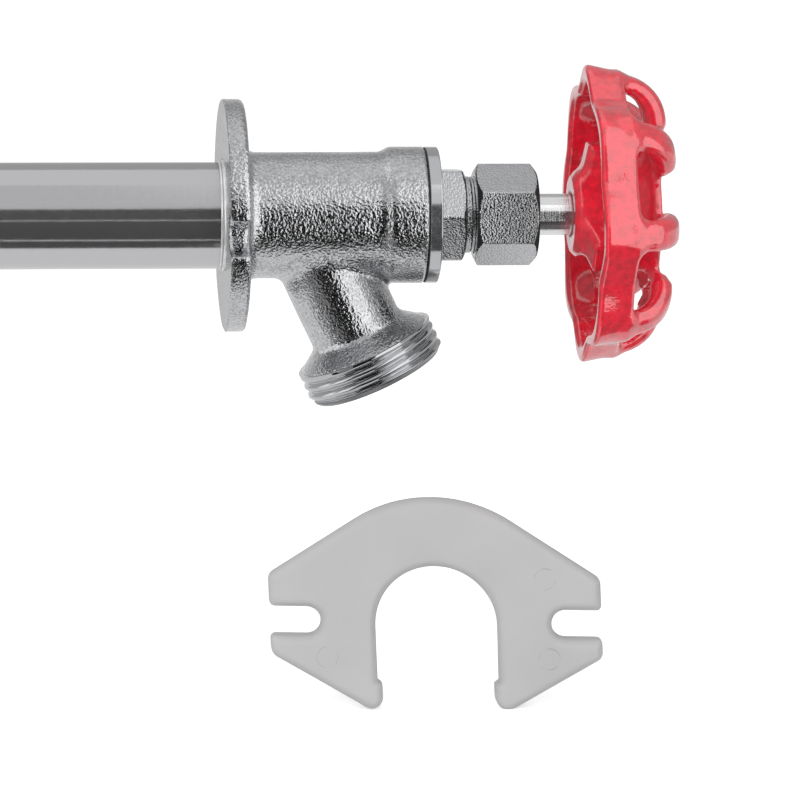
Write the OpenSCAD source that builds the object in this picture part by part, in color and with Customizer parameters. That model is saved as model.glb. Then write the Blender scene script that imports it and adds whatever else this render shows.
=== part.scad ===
// Frost free sillcock: a wall tap whose valve seat sits inside the warm house.
// +X points out of the wall along the stem, +Z is up and the origin is the
// centre of the flange's rear face. All sizes are in millimetres.

/* [Wall flange] */
// Diameter of the round wall flange
flange_d = 44; // [40:0.5:56]
// Thickness of the flange
flange_t = 3.8; // [3:0.1:5]
// Rounding of the flange's front edge
flange_edge = 0.9; // [0.3:0.1:1.2]
// Chamfer round the flange's machined rear face
rear_break = 0.2; // [0.1:0.1:0.8]
// Width of an open screw slot
slot_w = 6.4; // [4.5:0.1:7]
// Depth of an open screw slot from the rim to the centre of its round end
slot_depth = 4.5; // [4:0.1:5]
// Turn of the two screw slots about the barrel's axis, in degrees
slot_turn = 3; // [0:0.5:5]

/* [Cast body] */
// Wall of the socket that takes the supply tube
socket_wall = 1.8; // [1.4:0.1:3]
// Depth of the tube socket behind the flange's rear face
socket_depth = 9; // [6:0.5:10]
// Wall of the barrel round the bonnet's spigot
body_wall = 1.95; // [1.6:0.05:2.6]
// Distance from the wall to the end of the barrel
barrel_l = 29.8; // [29:0.1:40]
// Length of the cone between barrel and collar
step_l = 1.2; // [0.6:0.1:2]
// Height of the collar above the barrel
collar_step = 1; // [0.5:0.1:2]
// Length of the collar that the bonnet seats on
collar_l = 6.8; // [6:0.1:12]
// Fillet between the flange and the barrel
root_fillet = 2; // [0.5:0.1:2]
// Ledge that the tube butts on
tube_ledge = 0.6; // [0.3:0.1:0.9]

/* [Hose outlet] */
// Distance from the wall to the point where the outlet's axis leaves the main axis
outlet_x = 15.5; // [15:0.1:18]
// Tilt of the outlet from straight down
outlet_tilt = 25.2; // [15:0.1:26]
// Diameter of the outlet's neck
neck_d = 17.9; // [16:0.1:19]
// Diameter of the bore in the neck
neck_bore_d = 12.4; // [10:0.1:13]
// Distance along the outlet's axis at which the neck starts to flare
neck_l = 24.5; // [22:0.1:26]
// Length of the flare
flare_l = 3.6; // [2.5:0.1:5]
// Outer diameter of the hose thread
hose_d = 26.99; // [26:0.01:28]
// Length of the hose thread
hose_l = 6.5; // [6:0.1:10]
// Diameter of the bore at the outlet's mouth
mouth_d = 18; // [15:0.1:20]
// Chamfer at the end of the hose thread
hose_chamfer = 0.5; // [0.2:0.1:1]

/* [Supply tube] */
// Distance from the wall to the end of the inlet fitting
wall_depth = 101.6; // [95:0.1:400]
// Outer diameter of the supply tube
tube_d = 20.2; // [19:0.1:22]
// Wall of the supply tube
tube_wall = 1; // [0.7:0.1:1.5]
// Height of the solder fillets at the tube's ends
solder_h = 0.4; // [0.4:0.1:1.2]
// Length of the solder fillets
solder_l = 1.9; // [1:0.1:3]

/* [Inlet fitting] */
// Outer diameter of the inlet's pipe thread
inlet_thread_d = 21.34; // [20:0.01:22]
// Length of the inlet's pipe thread
inlet_thread_l = 13.5; // [12.8:0.1:16]
// Bore of the solder socket in the inlet
inlet_socket_d = 15.96; // [15:0.01:17]
// Depth of the solder socket
inlet_socket_l = 12.7; // [10:0.1:13.4]
// Size across the flats of the inlet's hexagon
inlet_hex_af = 24; // [23:0.1:28]
// Length of the inlet's hexagon
inlet_hex_l = 7; // [5:0.1:10]
// Length of the spigot inside the tube
inlet_spigot_l = 9; // [6:0.1:12]
// Diameter of the water way through the valve seat
seat_bore_d = 9.5; // [9:0.1:10.2]
// Outer diameter of the seat's raised lip
seat_lip_d = 12.4; // [12:0.1:12.8]
// Height of the seat's lip
seat_lip_h = 0.8; // [0.5:0.1:1.5]

/* [Bonnet] */
// Thickness of the gasket between collar and bonnet
gasket_t = 0.3; // [0.3:0.1:1]
// Length of the bonnet's round ring
ring_l = 2.3; // [1.2:0.1:3]
// Length of the bonnet's hexagon
bonnet_hex_l = 4.7; // [4:0.1:8]
// Length of the bonnet's threaded neck
bonnet_neck_l = 8.7; // [8:0.1:12]
// Reach of the bonnet's spigot into the body
spigot_l = 11.5; // [9:0.1:11.6]
// Length of the wall that the stem seats back on
back_seat_l = 5.8; // [5:0.1:8]

/* [Stem and packing] */
// Diameter of the stem
stem_d = 7.94; // [7:0.01:9]
// Height of the operating thread above the stem
stem_thread_h = 1.13; // [0.8:0.01:1.5]
// Length of the operating thread on the stem
stem_thread_l = 18; // [16:0.1:19]
// Advance of the stem in one turn
thread_lead = 2.1167; // [1.5:0.0001:2.2]
// Turns of the handwheel from closed to fully open
open_turns = 3; // [2:0.25:3]
// Wall of packing round the stem
packing_t = 1.58; // [1.2:0.01:2.2]
// Wall of the bonnet's neck round the packing
neck_wall = 1.65; // [1.3:0.05:2.2]
// Number of packing rings
packing_rings = 3; // [2:1:5]
// Thickness of the washer under the packing
packing_washer_t = 0.8; // [0.5:0.1:1.2]
// Thickness of the gland's flange
gland_flange_t = 1.6; // [1:0.1:2]
// Reach of the gland into the packing chamber
gland_reach = 2; // [1:0.1:3]

/* [Packing nut] */
// Least wall of the packing nut at its flats
nut_wall = 1.1; // [0.9:0.05:2]
// Length of the packing nut
nut_l = 12.1; // [10.5:0.1:14]
// Gap between the bonnet's hexagon and the packing nut
nut_gap = 2.1; // [1:0.1:3]
// Chamfer on the corners of both hexagons
hex_chamfer = 0.75; // [0.4:0.05:1]
// Angle at which the packing nut came to rest
nut_turn = -4.4; // [-30:0.1:30]
// Angle at which the bonnet's hexagon came to rest
bonnet_turn = 22; // [-30:1:30]

/* [Valve end] */
// Diameter of the long rod
rod_d = 6.35; // [6:0.05:6.6]
// Depth of the socket in the stem that takes the rod
rod_socket_l = 8; // [6:0.5:10]
// Outer diameter of the washer holder
holder_d = 15.2; // [15:0.1:16]
// Length of the washer holder
holder_l = 6.5; // [5.5:0.1:9]
// Diameter of the seat washer
seat_washer_d = 13; // [12.9:0.1:13.4]
// Thickness of the seat washer
seat_washer_t = 3; // [2:0.1:3.4]
// Part of the washer's thickness that the cup leaves bare
washer_bare = 0.9; // [0.6:0.1:1.2]
// Diameter of the screw's head
washer_screw_head_d = 7; // [6.4:0.1:7.4]
// Height of the screw's head
washer_screw_head_h = 1.8; // [1.2:0.1:2.5]
// Diameter of the shoulder that cup and washer swivel on
shoulder_d = 4.8; // [4.5:0.1:5.2]
// Diameter of the screw's thread in the rod
washer_screw_d = 3.4; // [3:0.1:4]
// Length of the screw's thread in the rod
washer_screw_l = 6; // [5:0.5:8]

/* [Handwheel] */
// Diameter of the handwheel over its lobes
wheel_d = 57.6; // [52:0.2:64]
// Number of lobes and arches
wheel_lobes = 8; // [6:1:9]
// Turn of the lobes from the square's side, in degrees
wheel_turn = 0.5; // [-22.5:0.5:22.5]
// Depth of the hollows between the lobes
scallop_h = 3.2; // [2:0.1:3.6]
// Wall of the rim in a hollow
rim_wall = 1.9; // [1.4:0.1:2.6]
// Share of the hollows' depth that the rim's inside follows
rim_wave = 0.6; // [0:0.05:0.8]
// Taper of the lobes from the rim's rear to its front, on the radius
rim_draft = 1.5; // [0:0.1:2]
// Width of the rim's band
rim_l = 6.9; // [5:0.1:9]
// Height of the arches above the band
arch_h = 8.7; // [7:0.1:11]
// Thickness of the arches at the crown
arch_t = 4; // [2.8:0.1:5]
// Width of an arch at the rim and the crown
arch_w = 6.4; // [5.5:0.1:7.2]
// Width of an arch where it joins the top disc
arch_root_w = 4.4; // [3.8:0.1:6]
// Distance from the edge of the top disc to the crown
arch_nose = 3.5; // [2.5:0.1:4.5]
// Diameter of the top disc
disc_d = 28; // [26:0.2:31]
// Thickness of the top disc
disc_t = 1.6; // [1.2:0.1:3]
// Depth of the top disc below the crown
disc_drop = 2.3; // [2.2:0.1:3]
// Wall of the hub round the stem
hub_wall = 4.2; // [3:0.1:5]
// Reach of the hub behind the rim
hub_proud = 2.2; // [1:0.1:4]
// Number of ribs between the hub and the top disc
hub_ribs = 3; // [2:1:8]
// Thickness of a rib
rib_w = 5.4; // [2:0.1:6]
// Distance from the hub's rear face to the ribs
rib_from = 2; // [1:0.1:4]
// Distance along the stem in which a rib rises to its full height
rib_rise = 1.3; // [1:0.1:3]
// Length of the cone between the hub and the top disc
web_l = 3.5; // [2:0.1:5]
// Gap between the packing nut and the hub when the valve is shut
hub_gap = 6.8; // [6:0.1:9]
// Size across the flats of the stem's square end
square_af = 5.6; // [5:0.05:5.6]
// Distance from the hub's rear face to the start of the square
square_from = 5.7; // [4:0.1:7]
// Room between the stem's end and the washer
stem_end_gap = 0.8; // [0.4:0.1:1.5]
// Diameter of the handwheel's washer
wheel_washer_d = 10; // [8.8:0.1:12]
// Thickness of the handwheel's washer
wheel_washer_t = 0.5; // [0.3:0.1:0.8]
// Diameter of the handwheel screw
wheel_screw_d = 3.9; // [3:0.1:4.4]
// Length of the handwheel screw in the stem
wheel_screw_l = 8; // [6:0.5:9]
// Diameter of the handwheel screw's head
wheel_screw_head_d = 7.4; // [6.5:0.1:8.5]
// Height of the handwheel screw's head
wheel_screw_head_h = 1.3; // [1:0.1:1.6]

/* [Wall wedge] */
// Width of the wedge over its ears
wedge_w = 64.5; // [58:0.2:70]
// Height of the wedge's crown above the centre of its arch
wedge_crown = 24.8; // [22:0.1:28]
// Radius of the crown
wedge_crown_r = 27.7; // [22:0.1:30]
// Slope of the wedge's shoulders
shoulder_angle = 32.5; // [30:0.5:35]
// Distance from the centre of the arch down to the ears' lower corners
ear_drop = 5.7; // [4.8:0.1:7]
// Slope of the wedge's lower edges
leg_angle = 29.7; // [26:0.1:33]
// Room between the tube and the wedge's arch
wedge_play = 1.65; // [0.8:0.1:2]
// Reach of the nubs that clip the wedge on the tube
nub_h = 0.9; // [0.5:0.1:1.2]
// Distance from the centre of the arch down to the nubs
nub_drop = 10.6; // [9.5:0.1:11.5]
// Width of a wedge slot
wedge_slot_w = 5.1; // [4.6:0.1:5.6]
// Distance from the middle to the round end of a wedge slot
wedge_slot_reach = 25; // [23:0.1:27]
// Height of the wedge slots above the centre of the arch
wedge_slot_rise = 0.9; // [0:0.1:1.5]
// Thickness at the crown
wedge_t_thin = 3; // [2:0.1:4]
// Thickness at the legs' ends
wedge_t_thick = 6.5; // [5:0.1:9]
// Rounding of the wedge's corners
wedge_corner_r = 2; // [1.2:0.1:2.4]
// Distance from the wall to the middle of the wedge as it is laid out
wedge_x = 40.7; // [30:0.5:60]
// Distance from the sillcock's axis down to the centre of the wedge's arch
wedge_z = 80.1; // [70:0.2:90]

/* [Fits] */
// Clearance on the radius wherever one piece fits in another
fit = 0.05; // [0.02:0.01:0.09]

/* [Hidden] */
$fn = 96;
// Points in each quarter of a rounded corner
arc_n = 6;
// How far a cutter runs past the face that it cuts
over = 1;

// Radii of the body, from the tube outwards
tube_r = tube_d / 2;
socket_r = tube_r + fit;
barrel_r = socket_r + socket_wall;
collar_r = barrel_r + collar_step;
flange_r = flange_d / 2;
bonnet_bore_r = barrel_r - body_wall;
waterway_r = tube_r - tube_wall;
// Countersink in the flange's rear face that holds the root of the solder fillet
well_h = solder_h + fit;
slot_reach = flange_r - slot_depth;
neck_r = neck_d / 2;
hose_r = hose_d / 2;
outlet_l = neck_l + flare_l + hose_l;

// Stations along the main axis, from the wall outwards
collar_x = barrel_l + step_l;
collar_end = collar_x + collar_l;
ring_x = collar_end + gasket_t;
hex_x = ring_x + ring_l;
neck_x = hex_x + bonnet_hex_l;
neck_end = neck_x + bonnet_neck_l;
nut_x = neck_x + nut_gap;
nut_end = nut_x + nut_l;
spigot_x = collar_end - spigot_l;
back_seat_x = neck_x - back_seat_l;
hub_x = nut_end + hub_gap;
rim_x = hub_x + hub_proud;
arch_x = rim_x + rim_l;
crown_x = arch_x + arch_h;
disc_end = crown_x - disc_drop;
disc_x = disc_end - disc_t;

// Stem and packing
stem_r = stem_d / 2;
stem_bore_r = stem_r + fit;
stem_thread_r = stem_r + stem_thread_h;
chamber_r = stem_bore_r + packing_t + fit;
bonnet_neck_r = chamber_r + neck_wall;
nut_bore_r = bonnet_neck_r + fit;
hex_af = 2 * (nut_bore_r + nut_wall);
gland_x = neck_end - gland_reach;
gland_lift = 0.3;
gland_end = neck_end + gland_lift + gland_flange_t;
packing_x = neck_x + packing_washer_t;
packing_ring_l = (gland_x - packing_x) / packing_rings;
travel = thread_lead * open_turns;
back_seat_gap = 0.3;
stem_thread_end = back_seat_x - travel - back_seat_gap;
stem_thread_x = stem_thread_end - stem_thread_l;
square_x = hub_x + square_from;
stem_end = disc_end - stem_end_gap;

// Valve end, inside the house
inlet_end = -wall_depth;
inlet_hex_x = inlet_end + inlet_thread_l;
tube_x = inlet_hex_x + inlet_hex_l;
spigot_end = tube_x + inlet_spigot_l;
seat_x = spigot_end + seat_lip_h;
holder_x = seat_x + washer_bare;
washer_end = seat_x + seat_washer_t;
holder_end = holder_x + holder_l;
rod_x = holder_end + fit;
rod_end = stem_thread_x + rod_socket_l;
shoulder_r = shoulder_d / 2;

// Handwheel
lobe_r = wheel_d / 2;
rim_valley_r = lobe_r - scallop_h;
rim_inner_r = rim_valley_r - rim_wall;
disc_r = disc_d / 2;
crown_r = disc_r + arch_nose;
arch_foot_r = lobe_r - rim_draft - 0.1;
hub_r = stem_r + hub_wall;
rib_r = disc_r - 0.6;
rib_x = hub_x + rib_from;

// Outline of the wedge, from the centre of its arch
wedge_half = wedge_w / 2;
arch_r = tube_r + wedge_play;
nub_u = arch_r - nub_h;
apex_v = wedge_crown + wedge_crown_r * (1 / cos(shoulder_angle) - 1);
ear_v = apex_v - wedge_half * tan(shoulder_angle);
toe_v = -ear_drop - (wedge_half - nub_u) * tan(leg_angle);

// Points of a circle's arc, one more than the number of steps
function arc(c, r, a0, a1, n = arc_n) =
    [for (i = [0 : n]) c + r * [cos(a0 + (a1 - a0) * i / n), sin(a0 + (a1 - a0) * i / n)]];

function unit(v) = v / norm(v);

// The points that round the corner at b between a and c
function rounded(a, b, c, r, n = arc_n) =
    let (u = unit(a - b), v = unit(c - b))
    let (half = acos(u * v) / 2)
    let (p = b + u * r / tan(half), q = b + v * r / tan(half))
    let (m = b + unit(u + v) * r / sin(half))
    let (a0 = atan2(p.y - m.y, p.x - m.x), a1 = atan2(q.y - m.y, q.x - m.x))
    let (turn = a1 - a0 > 180 ? a1 - a0 - 360 : a1 - a0 < -180 ? a1 - a0 + 360 : a1 - a0)
    arc(m, r, a0, a0 + turn, n);

// A solid of revolution round the main axis, from points of radius and distance
module turned(points) {
    rotate([0, 90, 0]) rotate_extrude() polygon(points);
}

// A round rod or cutter along the main axis
module rod(x0, x1, r) {
    translate([x0, 0, 0]) rotate([0, 90, 0]) cylinder(h = x1 - x0, r = r);
}

// A washer or sleeve along the main axis
module sleeve(x0, x1, outer, inner) {
    difference() {
        rod(x0, x1, outer);
        rod(x0 - over, x1 + over, inner);
    }
}

// A hexagonal prism with both ends turned down to its flats
module hexagon(x0, x1, af, chamfer, turn = 0) {
    corner_r = af / sqrt(3);
    intersection() {
        translate([x0, 0, 0]) rotate([turn, 0, 0]) rotate([0, 90, 0])
            cylinder(h = x1 - x0, r = corner_r, $fn = 6);
        turned([
            [0, x0],
            [corner_r - 2 * chamfer, x0],
            [corner_r + over, x0 + chamfer + over / 2],
            [corner_r + over, x1 - chamfer - over / 2],
            [corner_r - 2 * chamfer, x1],
            [0, x1],
        ]);
    }
}

// Moves from the main axis to the outlet's axis, whose own +Z then points out
module outlet_axis() {
    translate([outlet_x, 0, 0]) rotate([0, 180 - outlet_tilt, 0]) children();
}

// Solid outline of flange, barrel and collar
module body_hull() {
    edge = flange_edge;
    chamfer = 0.3;
    turned(concat(
        [
            [0, 0],
            [flange_r - rear_break, 0],
            [flange_r, rear_break],
        ],
        arc([flange_r - edge, flange_t - edge], edge, 0, 90),
        arc([barrel_r + root_fillet, flange_t + root_fillet], root_fillet, 270, 180),
        [
            [barrel_r, barrel_l],
            [collar_r, collar_x],
            [collar_r, collar_end - chamfer],
            [collar_r - chamfer, collar_end],
            [0, collar_end],
        ]
    ));
}

// Solid outline of the outlet's neck, flare and hose thread
module outlet_hull() {
    outlet_axis() rotate_extrude() polygon([
        [0, 0],
        [neck_r, 0],
        [neck_r, neck_l],
        [neck_r + 0.35 * (hose_r - neck_r), neck_l + 0.45 * flare_l],
        [hose_r, neck_l + flare_l],
        [hose_r, outlet_l - hose_chamfer],
        [hose_r - hose_chamfer, outlet_l],
        [0, outlet_l],
    ]);
}

// Water way in the outlet, opening out at the mouth
module outlet_bore() {
    mouth_start = neck_l + flare_l - 1;
    outlet_axis() rotate_extrude() polygon([
        [0, 0],
        [neck_bore_d / 2, 0],
        [neck_bore_d / 2, neck_l - 1],
        [mouth_d / 2, mouth_start],
        [mouth_d / 2, outlet_l + over],
        [0, outlet_l + over],
    ]);
}

// Screw slots that open at the flange's rim on both sides
module flange_slots() {
    for (side = [0, 180]) rotate([side + slot_turn, 0, 0]) {
        translate([0, slot_reach, 0]) rod(-over, flange_t + over, slot_w / 2);
        translate([-over, slot_reach, -slot_w / 2])
            cube([flange_t + 2 * over, slot_depth + over, slot_w]);
    }
}

module body() {
    color("silver") difference() {
        union() {
            body_hull();
            outlet_hull();
        }
        rod(-over, socket_depth, socket_r);
        turned([
            [0, -over],
            [socket_r + well_h + over, -over],
            [socket_r, well_h],
            [0, well_h],
        ]);
        rod(-over, collar_end + over, socket_r - tube_ledge);
        rod(spigot_x - back_seat_gap, collar_end + over, bonnet_bore_r);
        outlet_bore();
        flange_slots();
    }
}

module tube() {
    color("gainsboro") sleeve(tube_x, socket_depth, tube_r, waterway_r);
}

// A solder fillet on the tube that leans on a face at x, with its root in a countersink
module solder_fillet(x, end, root = 0) {
    color("lightgray") turned([
        [tube_r + fit, x + root],
        [tube_r + fit + solder_h, x],
        [tube_r + fit + 0.35 * solder_h, x + 0.4 * (end - x)],
        [tube_r + fit, end],
    ]);
}

module solder_ring_wall() {
    solder_fillet(0, -solder_l, solder_h);
}

module solder_ring_inlet() {
    solder_fillet(tube_x, tube_x + solder_l);
}

module inlet_fitting() {
    lead_in = 1;
    thread_r = inlet_thread_d / 2;
    spigot_r = waterway_r - fit;
    color("goldenrod") difference() {
        union() {
            turned([
                [0, inlet_end],
                [thread_r - lead_in, inlet_end],
                [thread_r, inlet_end + lead_in],
                [thread_r, inlet_hex_x],
                [0, inlet_hex_x],
            ]);
            hexagon(inlet_hex_x, tube_x, inlet_hex_af, hex_chamfer);
            rod(tube_x, spigot_end, spigot_r);
            rod(spigot_end, seat_x, seat_lip_d / 2);
        }
        rod(inlet_end - over, inlet_end + inlet_socket_l, inlet_socket_d / 2);
        rod(inlet_end, seat_x + over, seat_bore_d / 2);
    }
}

module bonnet() {
    nose = 0.8;
    spigot_r = bonnet_bore_r - fit;
    color("silver") difference() {
        union() {
            turned([
                [0, spigot_x],
                [spigot_r - nose, spigot_x],
                [spigot_r, spigot_x + nose],
                [spigot_r, ring_x],
                [collar_r, ring_x],
                [collar_r, hex_x],
                [0, hex_x],
            ]);
            hexagon(hex_x, neck_x, hex_af, hex_chamfer, bonnet_turn);
            rod(neck_x, neck_end, bonnet_neck_r);
        }
        rod(spigot_x - over, back_seat_x, stem_thread_r + fit);
        rod(spigot_x, neck_end, stem_bore_r);
        rod(neck_x, neck_end + over, chamber_r);
    }
}

module bonnet_gasket() {
    color("dimgray") sleeve(collar_end, ring_x, collar_r, bonnet_bore_r);
}

module packing_nut() {
    color("silver") difference() {
        hexagon(nut_x, nut_end, hex_af, hex_chamfer, nut_turn);
        rod(nut_x - over, gland_end, nut_bore_r);
        rod(nut_x, nut_end + over, stem_bore_r + fit);
    }
}

module packing_gland() {
    color("goldenrod") difference() {
        union() {
            rod(gland_x, gland_end, chamber_r - fit);
            rod(gland_end - gland_flange_t, gland_end, nut_bore_r - 0.4);
        }
        rod(gland_x - over, gland_end + over, stem_bore_r);
    }
}

module stem_packing() {
    color("dimgray") for (i = [0 : packing_rings - 1])
        sleeve(packing_x + i * packing_ring_l, packing_x + (i + 1) * packing_ring_l - fit,
            chamber_r - fit, stem_bore_r);
}

module packing_washer() {
    color("goldenrod") sleeve(neck_x, packing_x, chamber_r - fit, stem_bore_r);
}

module stem() {
    thread_run = 0.6;
    color("silver") difference() {
        union() {
            turned([
                [0, stem_thread_x],
                [stem_thread_r - thread_run, stem_thread_x],
                [stem_thread_r, stem_thread_x + thread_run],
                [stem_thread_r, stem_thread_end],
                [stem_r, stem_thread_end],
                [stem_r, square_x],
                [0, square_x],
            ]);
            intersection() {
                translate([square_x, -square_af / 2, -square_af / 2])
                    cube([stem_end - square_x, square_af, square_af]);
                rod(square_x, stem_end, stem_r);
            }
        }
        rod(stem_thread_x - over, rod_end, rod_d / 2 + fit);
        rod(stem_end - wheel_screw_l, stem_end + over, wheel_screw_d / 2 + fit);
    }
}

module stem_rod() {
    color("silver") difference() {
        rod(rod_x, rod_end, rod_d / 2);
        rod(rod_x - over, rod_x + washer_screw_l + fit, washer_screw_d / 2 + fit);
    }
}

module washer_holder() {
    color("goldenrod") difference() {
        rod(holder_x, holder_end, holder_d / 2);
        rod(holder_x - over, washer_end, seat_washer_d / 2 + fit);
        rod(holder_x, holder_end + over, shoulder_r + fit);
    }
}

module seat_washer() {
    color("dimgray") sleeve(seat_x, washer_end, seat_washer_d / 2, shoulder_r + fit);
}

module washer_screw() {
    head_x = seat_x - fit;
    color("goldenrod") {
        turned([
            [0, head_x - washer_screw_head_h],
            [washer_screw_head_d / 2 - 0.6, head_x - washer_screw_head_h],
            [washer_screw_head_d / 2, head_x - washer_screw_head_h + 0.6],
            [washer_screw_head_d / 2, head_x],
            [shoulder_r, head_x],
            [shoulder_r, rod_x],
            [washer_screw_d / 2, rod_x],
            [washer_screw_d / 2, rod_x + washer_screw_l],
            [0, rod_x + washer_screw_l],
        ]);
    }
}

// Distance from the axis to the rim's outer face in a direction
function scallop(a) = rim_valley_r + scallop_h * pow((1 + cos(wheel_lobes * a)) / 2, 0.8);

// The rim's band with its lobes
module rim() {
    steps = wheel_lobes * 14;
    difference() {
        intersection() {
            translate([rim_x, 0, 0]) rotate([0, 90, 0]) linear_extrude(height = rim_l)
                polygon([for (i = [0 : steps - 1]) let (a = i * 360 / steps)
                    scallop(a) * [cos(a), sin(a)]]);
            turned([
                [0, rim_x],
                [lobe_r, rim_x],
                [lobe_r - rim_draft, arch_x],
                [0, arch_x],
            ]);
        }
        translate([rim_x - over, 0, 0]) rotate([0, 90, 0])
            linear_extrude(height = rim_l + 2 * over)
                polygon([for (i = [0 : steps - 1]) let (a = i * 360 / steps)
                    (rim_inner_r + rim_wave * (scallop(a) - rim_valley_r))
                        * [cos(a), sin(a)]]);
    }
}

// Ribs from the hub to the underside of the top disc
module hub_rib_ring() {
    for (i = [0 : hub_ribs - 1]) rotate([i * 360 / hub_ribs, 0, 0])
        rotate([90, 0, 0]) linear_extrude(height = rib_w, center = true) polygon([
            [rib_x, hub_r - over],
            [rib_x, hub_r + 0.3],
            [rib_x + rib_rise, rib_r],
            [disc_end - 0.5 * disc_t, rib_r],
            [disc_end - 0.5 * disc_t, hub_r - over],
        ]);
}

// Points of a quarter of an ellipse, from the foot of an arch to its crown
function arch_curve(foot, top, a0, a1, n = 12) =
    [for (i = [0 : n]) let (a = a0 + (a1 - a0) * i / n)
        [crown_r + (foot - crown_r) * cos(a), arch_x + (top - arch_x) * sin(a)]];

// A ring whose section is the side view of an arch
module arch_ring() {
    foot_in = rim_inner_r;
    turned(concat(
        [[arch_foot_r, arch_x - over]],
        arch_curve(arch_foot_r, crown_x, 0, 90),
        [
            [crown_r - 0.6 * arch_nose, crown_x - 0.3 * disc_drop],
            [disc_r - over, disc_end],
            [disc_r - over, disc_x],
            [disc_r + 0.5 * arch_nose, crown_x - arch_t],
        ],
        arch_curve(foot_in, crown_x - arch_t, 90, 0),
        [[foot_in, arch_x - over]]
    ));
}

// Plan of the arches, seen along the axis
module arch_plan() {
    for (i = [0 : wheel_lobes - 1]) rotate([0, 0, i * 360 / wheel_lobes]) polygon([
        [disc_r - 2 * over, -arch_root_w / 2],
        [crown_r, -arch_w / 2],
        [lobe_r + over, -arch_w / 2],
        [lobe_r + over, arch_w / 2],
        [crown_r, arch_w / 2],
        [disc_r - 2 * over, arch_root_w / 2],
    ]);
}

module handwheel() {
    square_room = square_af + 2 * fit;
    color("crimson") difference() {
        union() {
            rotate([wheel_turn, 0, 0]) rim();
            rotate([wheel_turn, 0, 0]) intersection() {
                arch_ring();
                translate([arch_x - 2 * over, 0, 0]) rotate([0, 90, 0])
                    linear_extrude(height = arch_h + 4 * over) arch_plan();
            }
            turned([
                [0, hub_x],
                [hub_r - 0.5, hub_x],
                [hub_r, hub_x + 0.5],
                [hub_r, disc_x - web_l],
                [rib_r - 1, disc_x],
                [disc_r, disc_x],
                [disc_r, disc_end - 0.4],
                [disc_r - 0.4, disc_end],
                [0, disc_end],
            ]);
            hub_rib_ring();
        }
        rod(hub_x - over, square_x, stem_bore_r);
        translate([square_x - over, -square_room / 2, -square_room / 2])
            cube([disc_end - square_x + 2 * over, square_room, square_room]);
    }
}

module handwheel_washer() {
    color("silver") sleeve(disc_end, disc_end + wheel_washer_t,
        wheel_washer_d / 2, wheel_screw_d / 2 + fit);
}

module handwheel_screw() {
    head_x = disc_end + wheel_washer_t;
    head_r = wheel_screw_head_d / 2;
    color("silver") turned([
        [0, stem_end - wheel_screw_l],
        [wheel_screw_d / 2, stem_end - wheel_screw_l],
        [wheel_screw_d / 2, head_x],
        [head_r, head_x],
        [head_r, head_x + 0.4 * wheel_screw_head_h],
        [0.6 * head_r, head_x + wheel_screw_head_h],
        [0, head_x + wheel_screw_head_h],
    ]);
}

// Front outline of the wedge without its screw slots
module wedge_outline() {
    r = wedge_corner_r;
    apex = [0, apex_v];
    ear_top = [wedge_half, ear_v];
    ear_bottom = [wedge_half, -ear_drop];
    toe = [nub_u, toe_v];
    nub = [nub_u, -nub_drop];
    leg = [arch_r, -nub_drop + 2 * nub_h];
    right = concat(
        rounded(apex, ear_top, ear_bottom, r),
        rounded(ear_top, ear_bottom, toe, r),
        rounded(ear_bottom, toe, nub, 0.95 * r),
        [nub, leg],
        arc([0, 0], arch_r, 0, 90, 20)
    );
    crown = rounded([-wedge_half, ear_v], apex, ear_top, wedge_crown_r, 16);
    left = [for (i = [len(right) - 2 : -1 : 0]) [-right[i].x, right[i].y]];
    polygon(concat(crown, right, left));
}

// Side view of the wedge: thin at the crown and thick at the legs
module wedge_section() {
    top = wedge_crown + over;
    bottom = toe_v - over;
    slope = (wedge_t_thick - wedge_t_thin) / (wedge_crown - toe_v);
    thin = wedge_t_thin - slope * over;
    thick = wedge_t_thick + slope * over;
    polygon([[-thick / 2, bottom], [thick / 2, bottom], [thin / 2, top], [-thin / 2, top]]);
}

module wall_wedge() {
    color("lightgray") translate([wedge_x, 0, -wedge_z]) intersection() {
        rotate([90, 0, 0]) linear_extrude(height = 2 * wedge_t_thick, center = true)
            difference() {
                wedge_outline();
                for (side = [0, 1]) mirror([side, 0]) {
                    translate([wedge_slot_reach, wedge_slot_rise])
                        circle(d = wedge_slot_w);
                    translate([wedge_slot_reach, wedge_slot_rise - wedge_slot_w / 2])
                        square([wedge_half, wedge_slot_w]);
                }
            }
        rotate([90, 0, 90]) linear_extrude(height = 2 * wedge_w, center = true)
            wedge_section();
    }
}

body();
tube();
solder_ring_wall();
solder_ring_inlet();
inlet_fitting();
bonnet();
bonnet_gasket();
packing_nut();
packing_gland();
stem_packing();
packing_washer();
stem();
stem_rod();
washer_holder();
seat_washer();
washer_screw();
handwheel();
handwheel_washer();
handwheel_screw();
wall_wedge();
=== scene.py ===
# Looks of a frost free sillcock. Lengths are in millimetres until a mesh is
# made. +X runs out of the wall along the stem and +Z is up.
import math

import bmesh
import bpy
import numpy as np
from mathutils import Matrix, Vector


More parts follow.
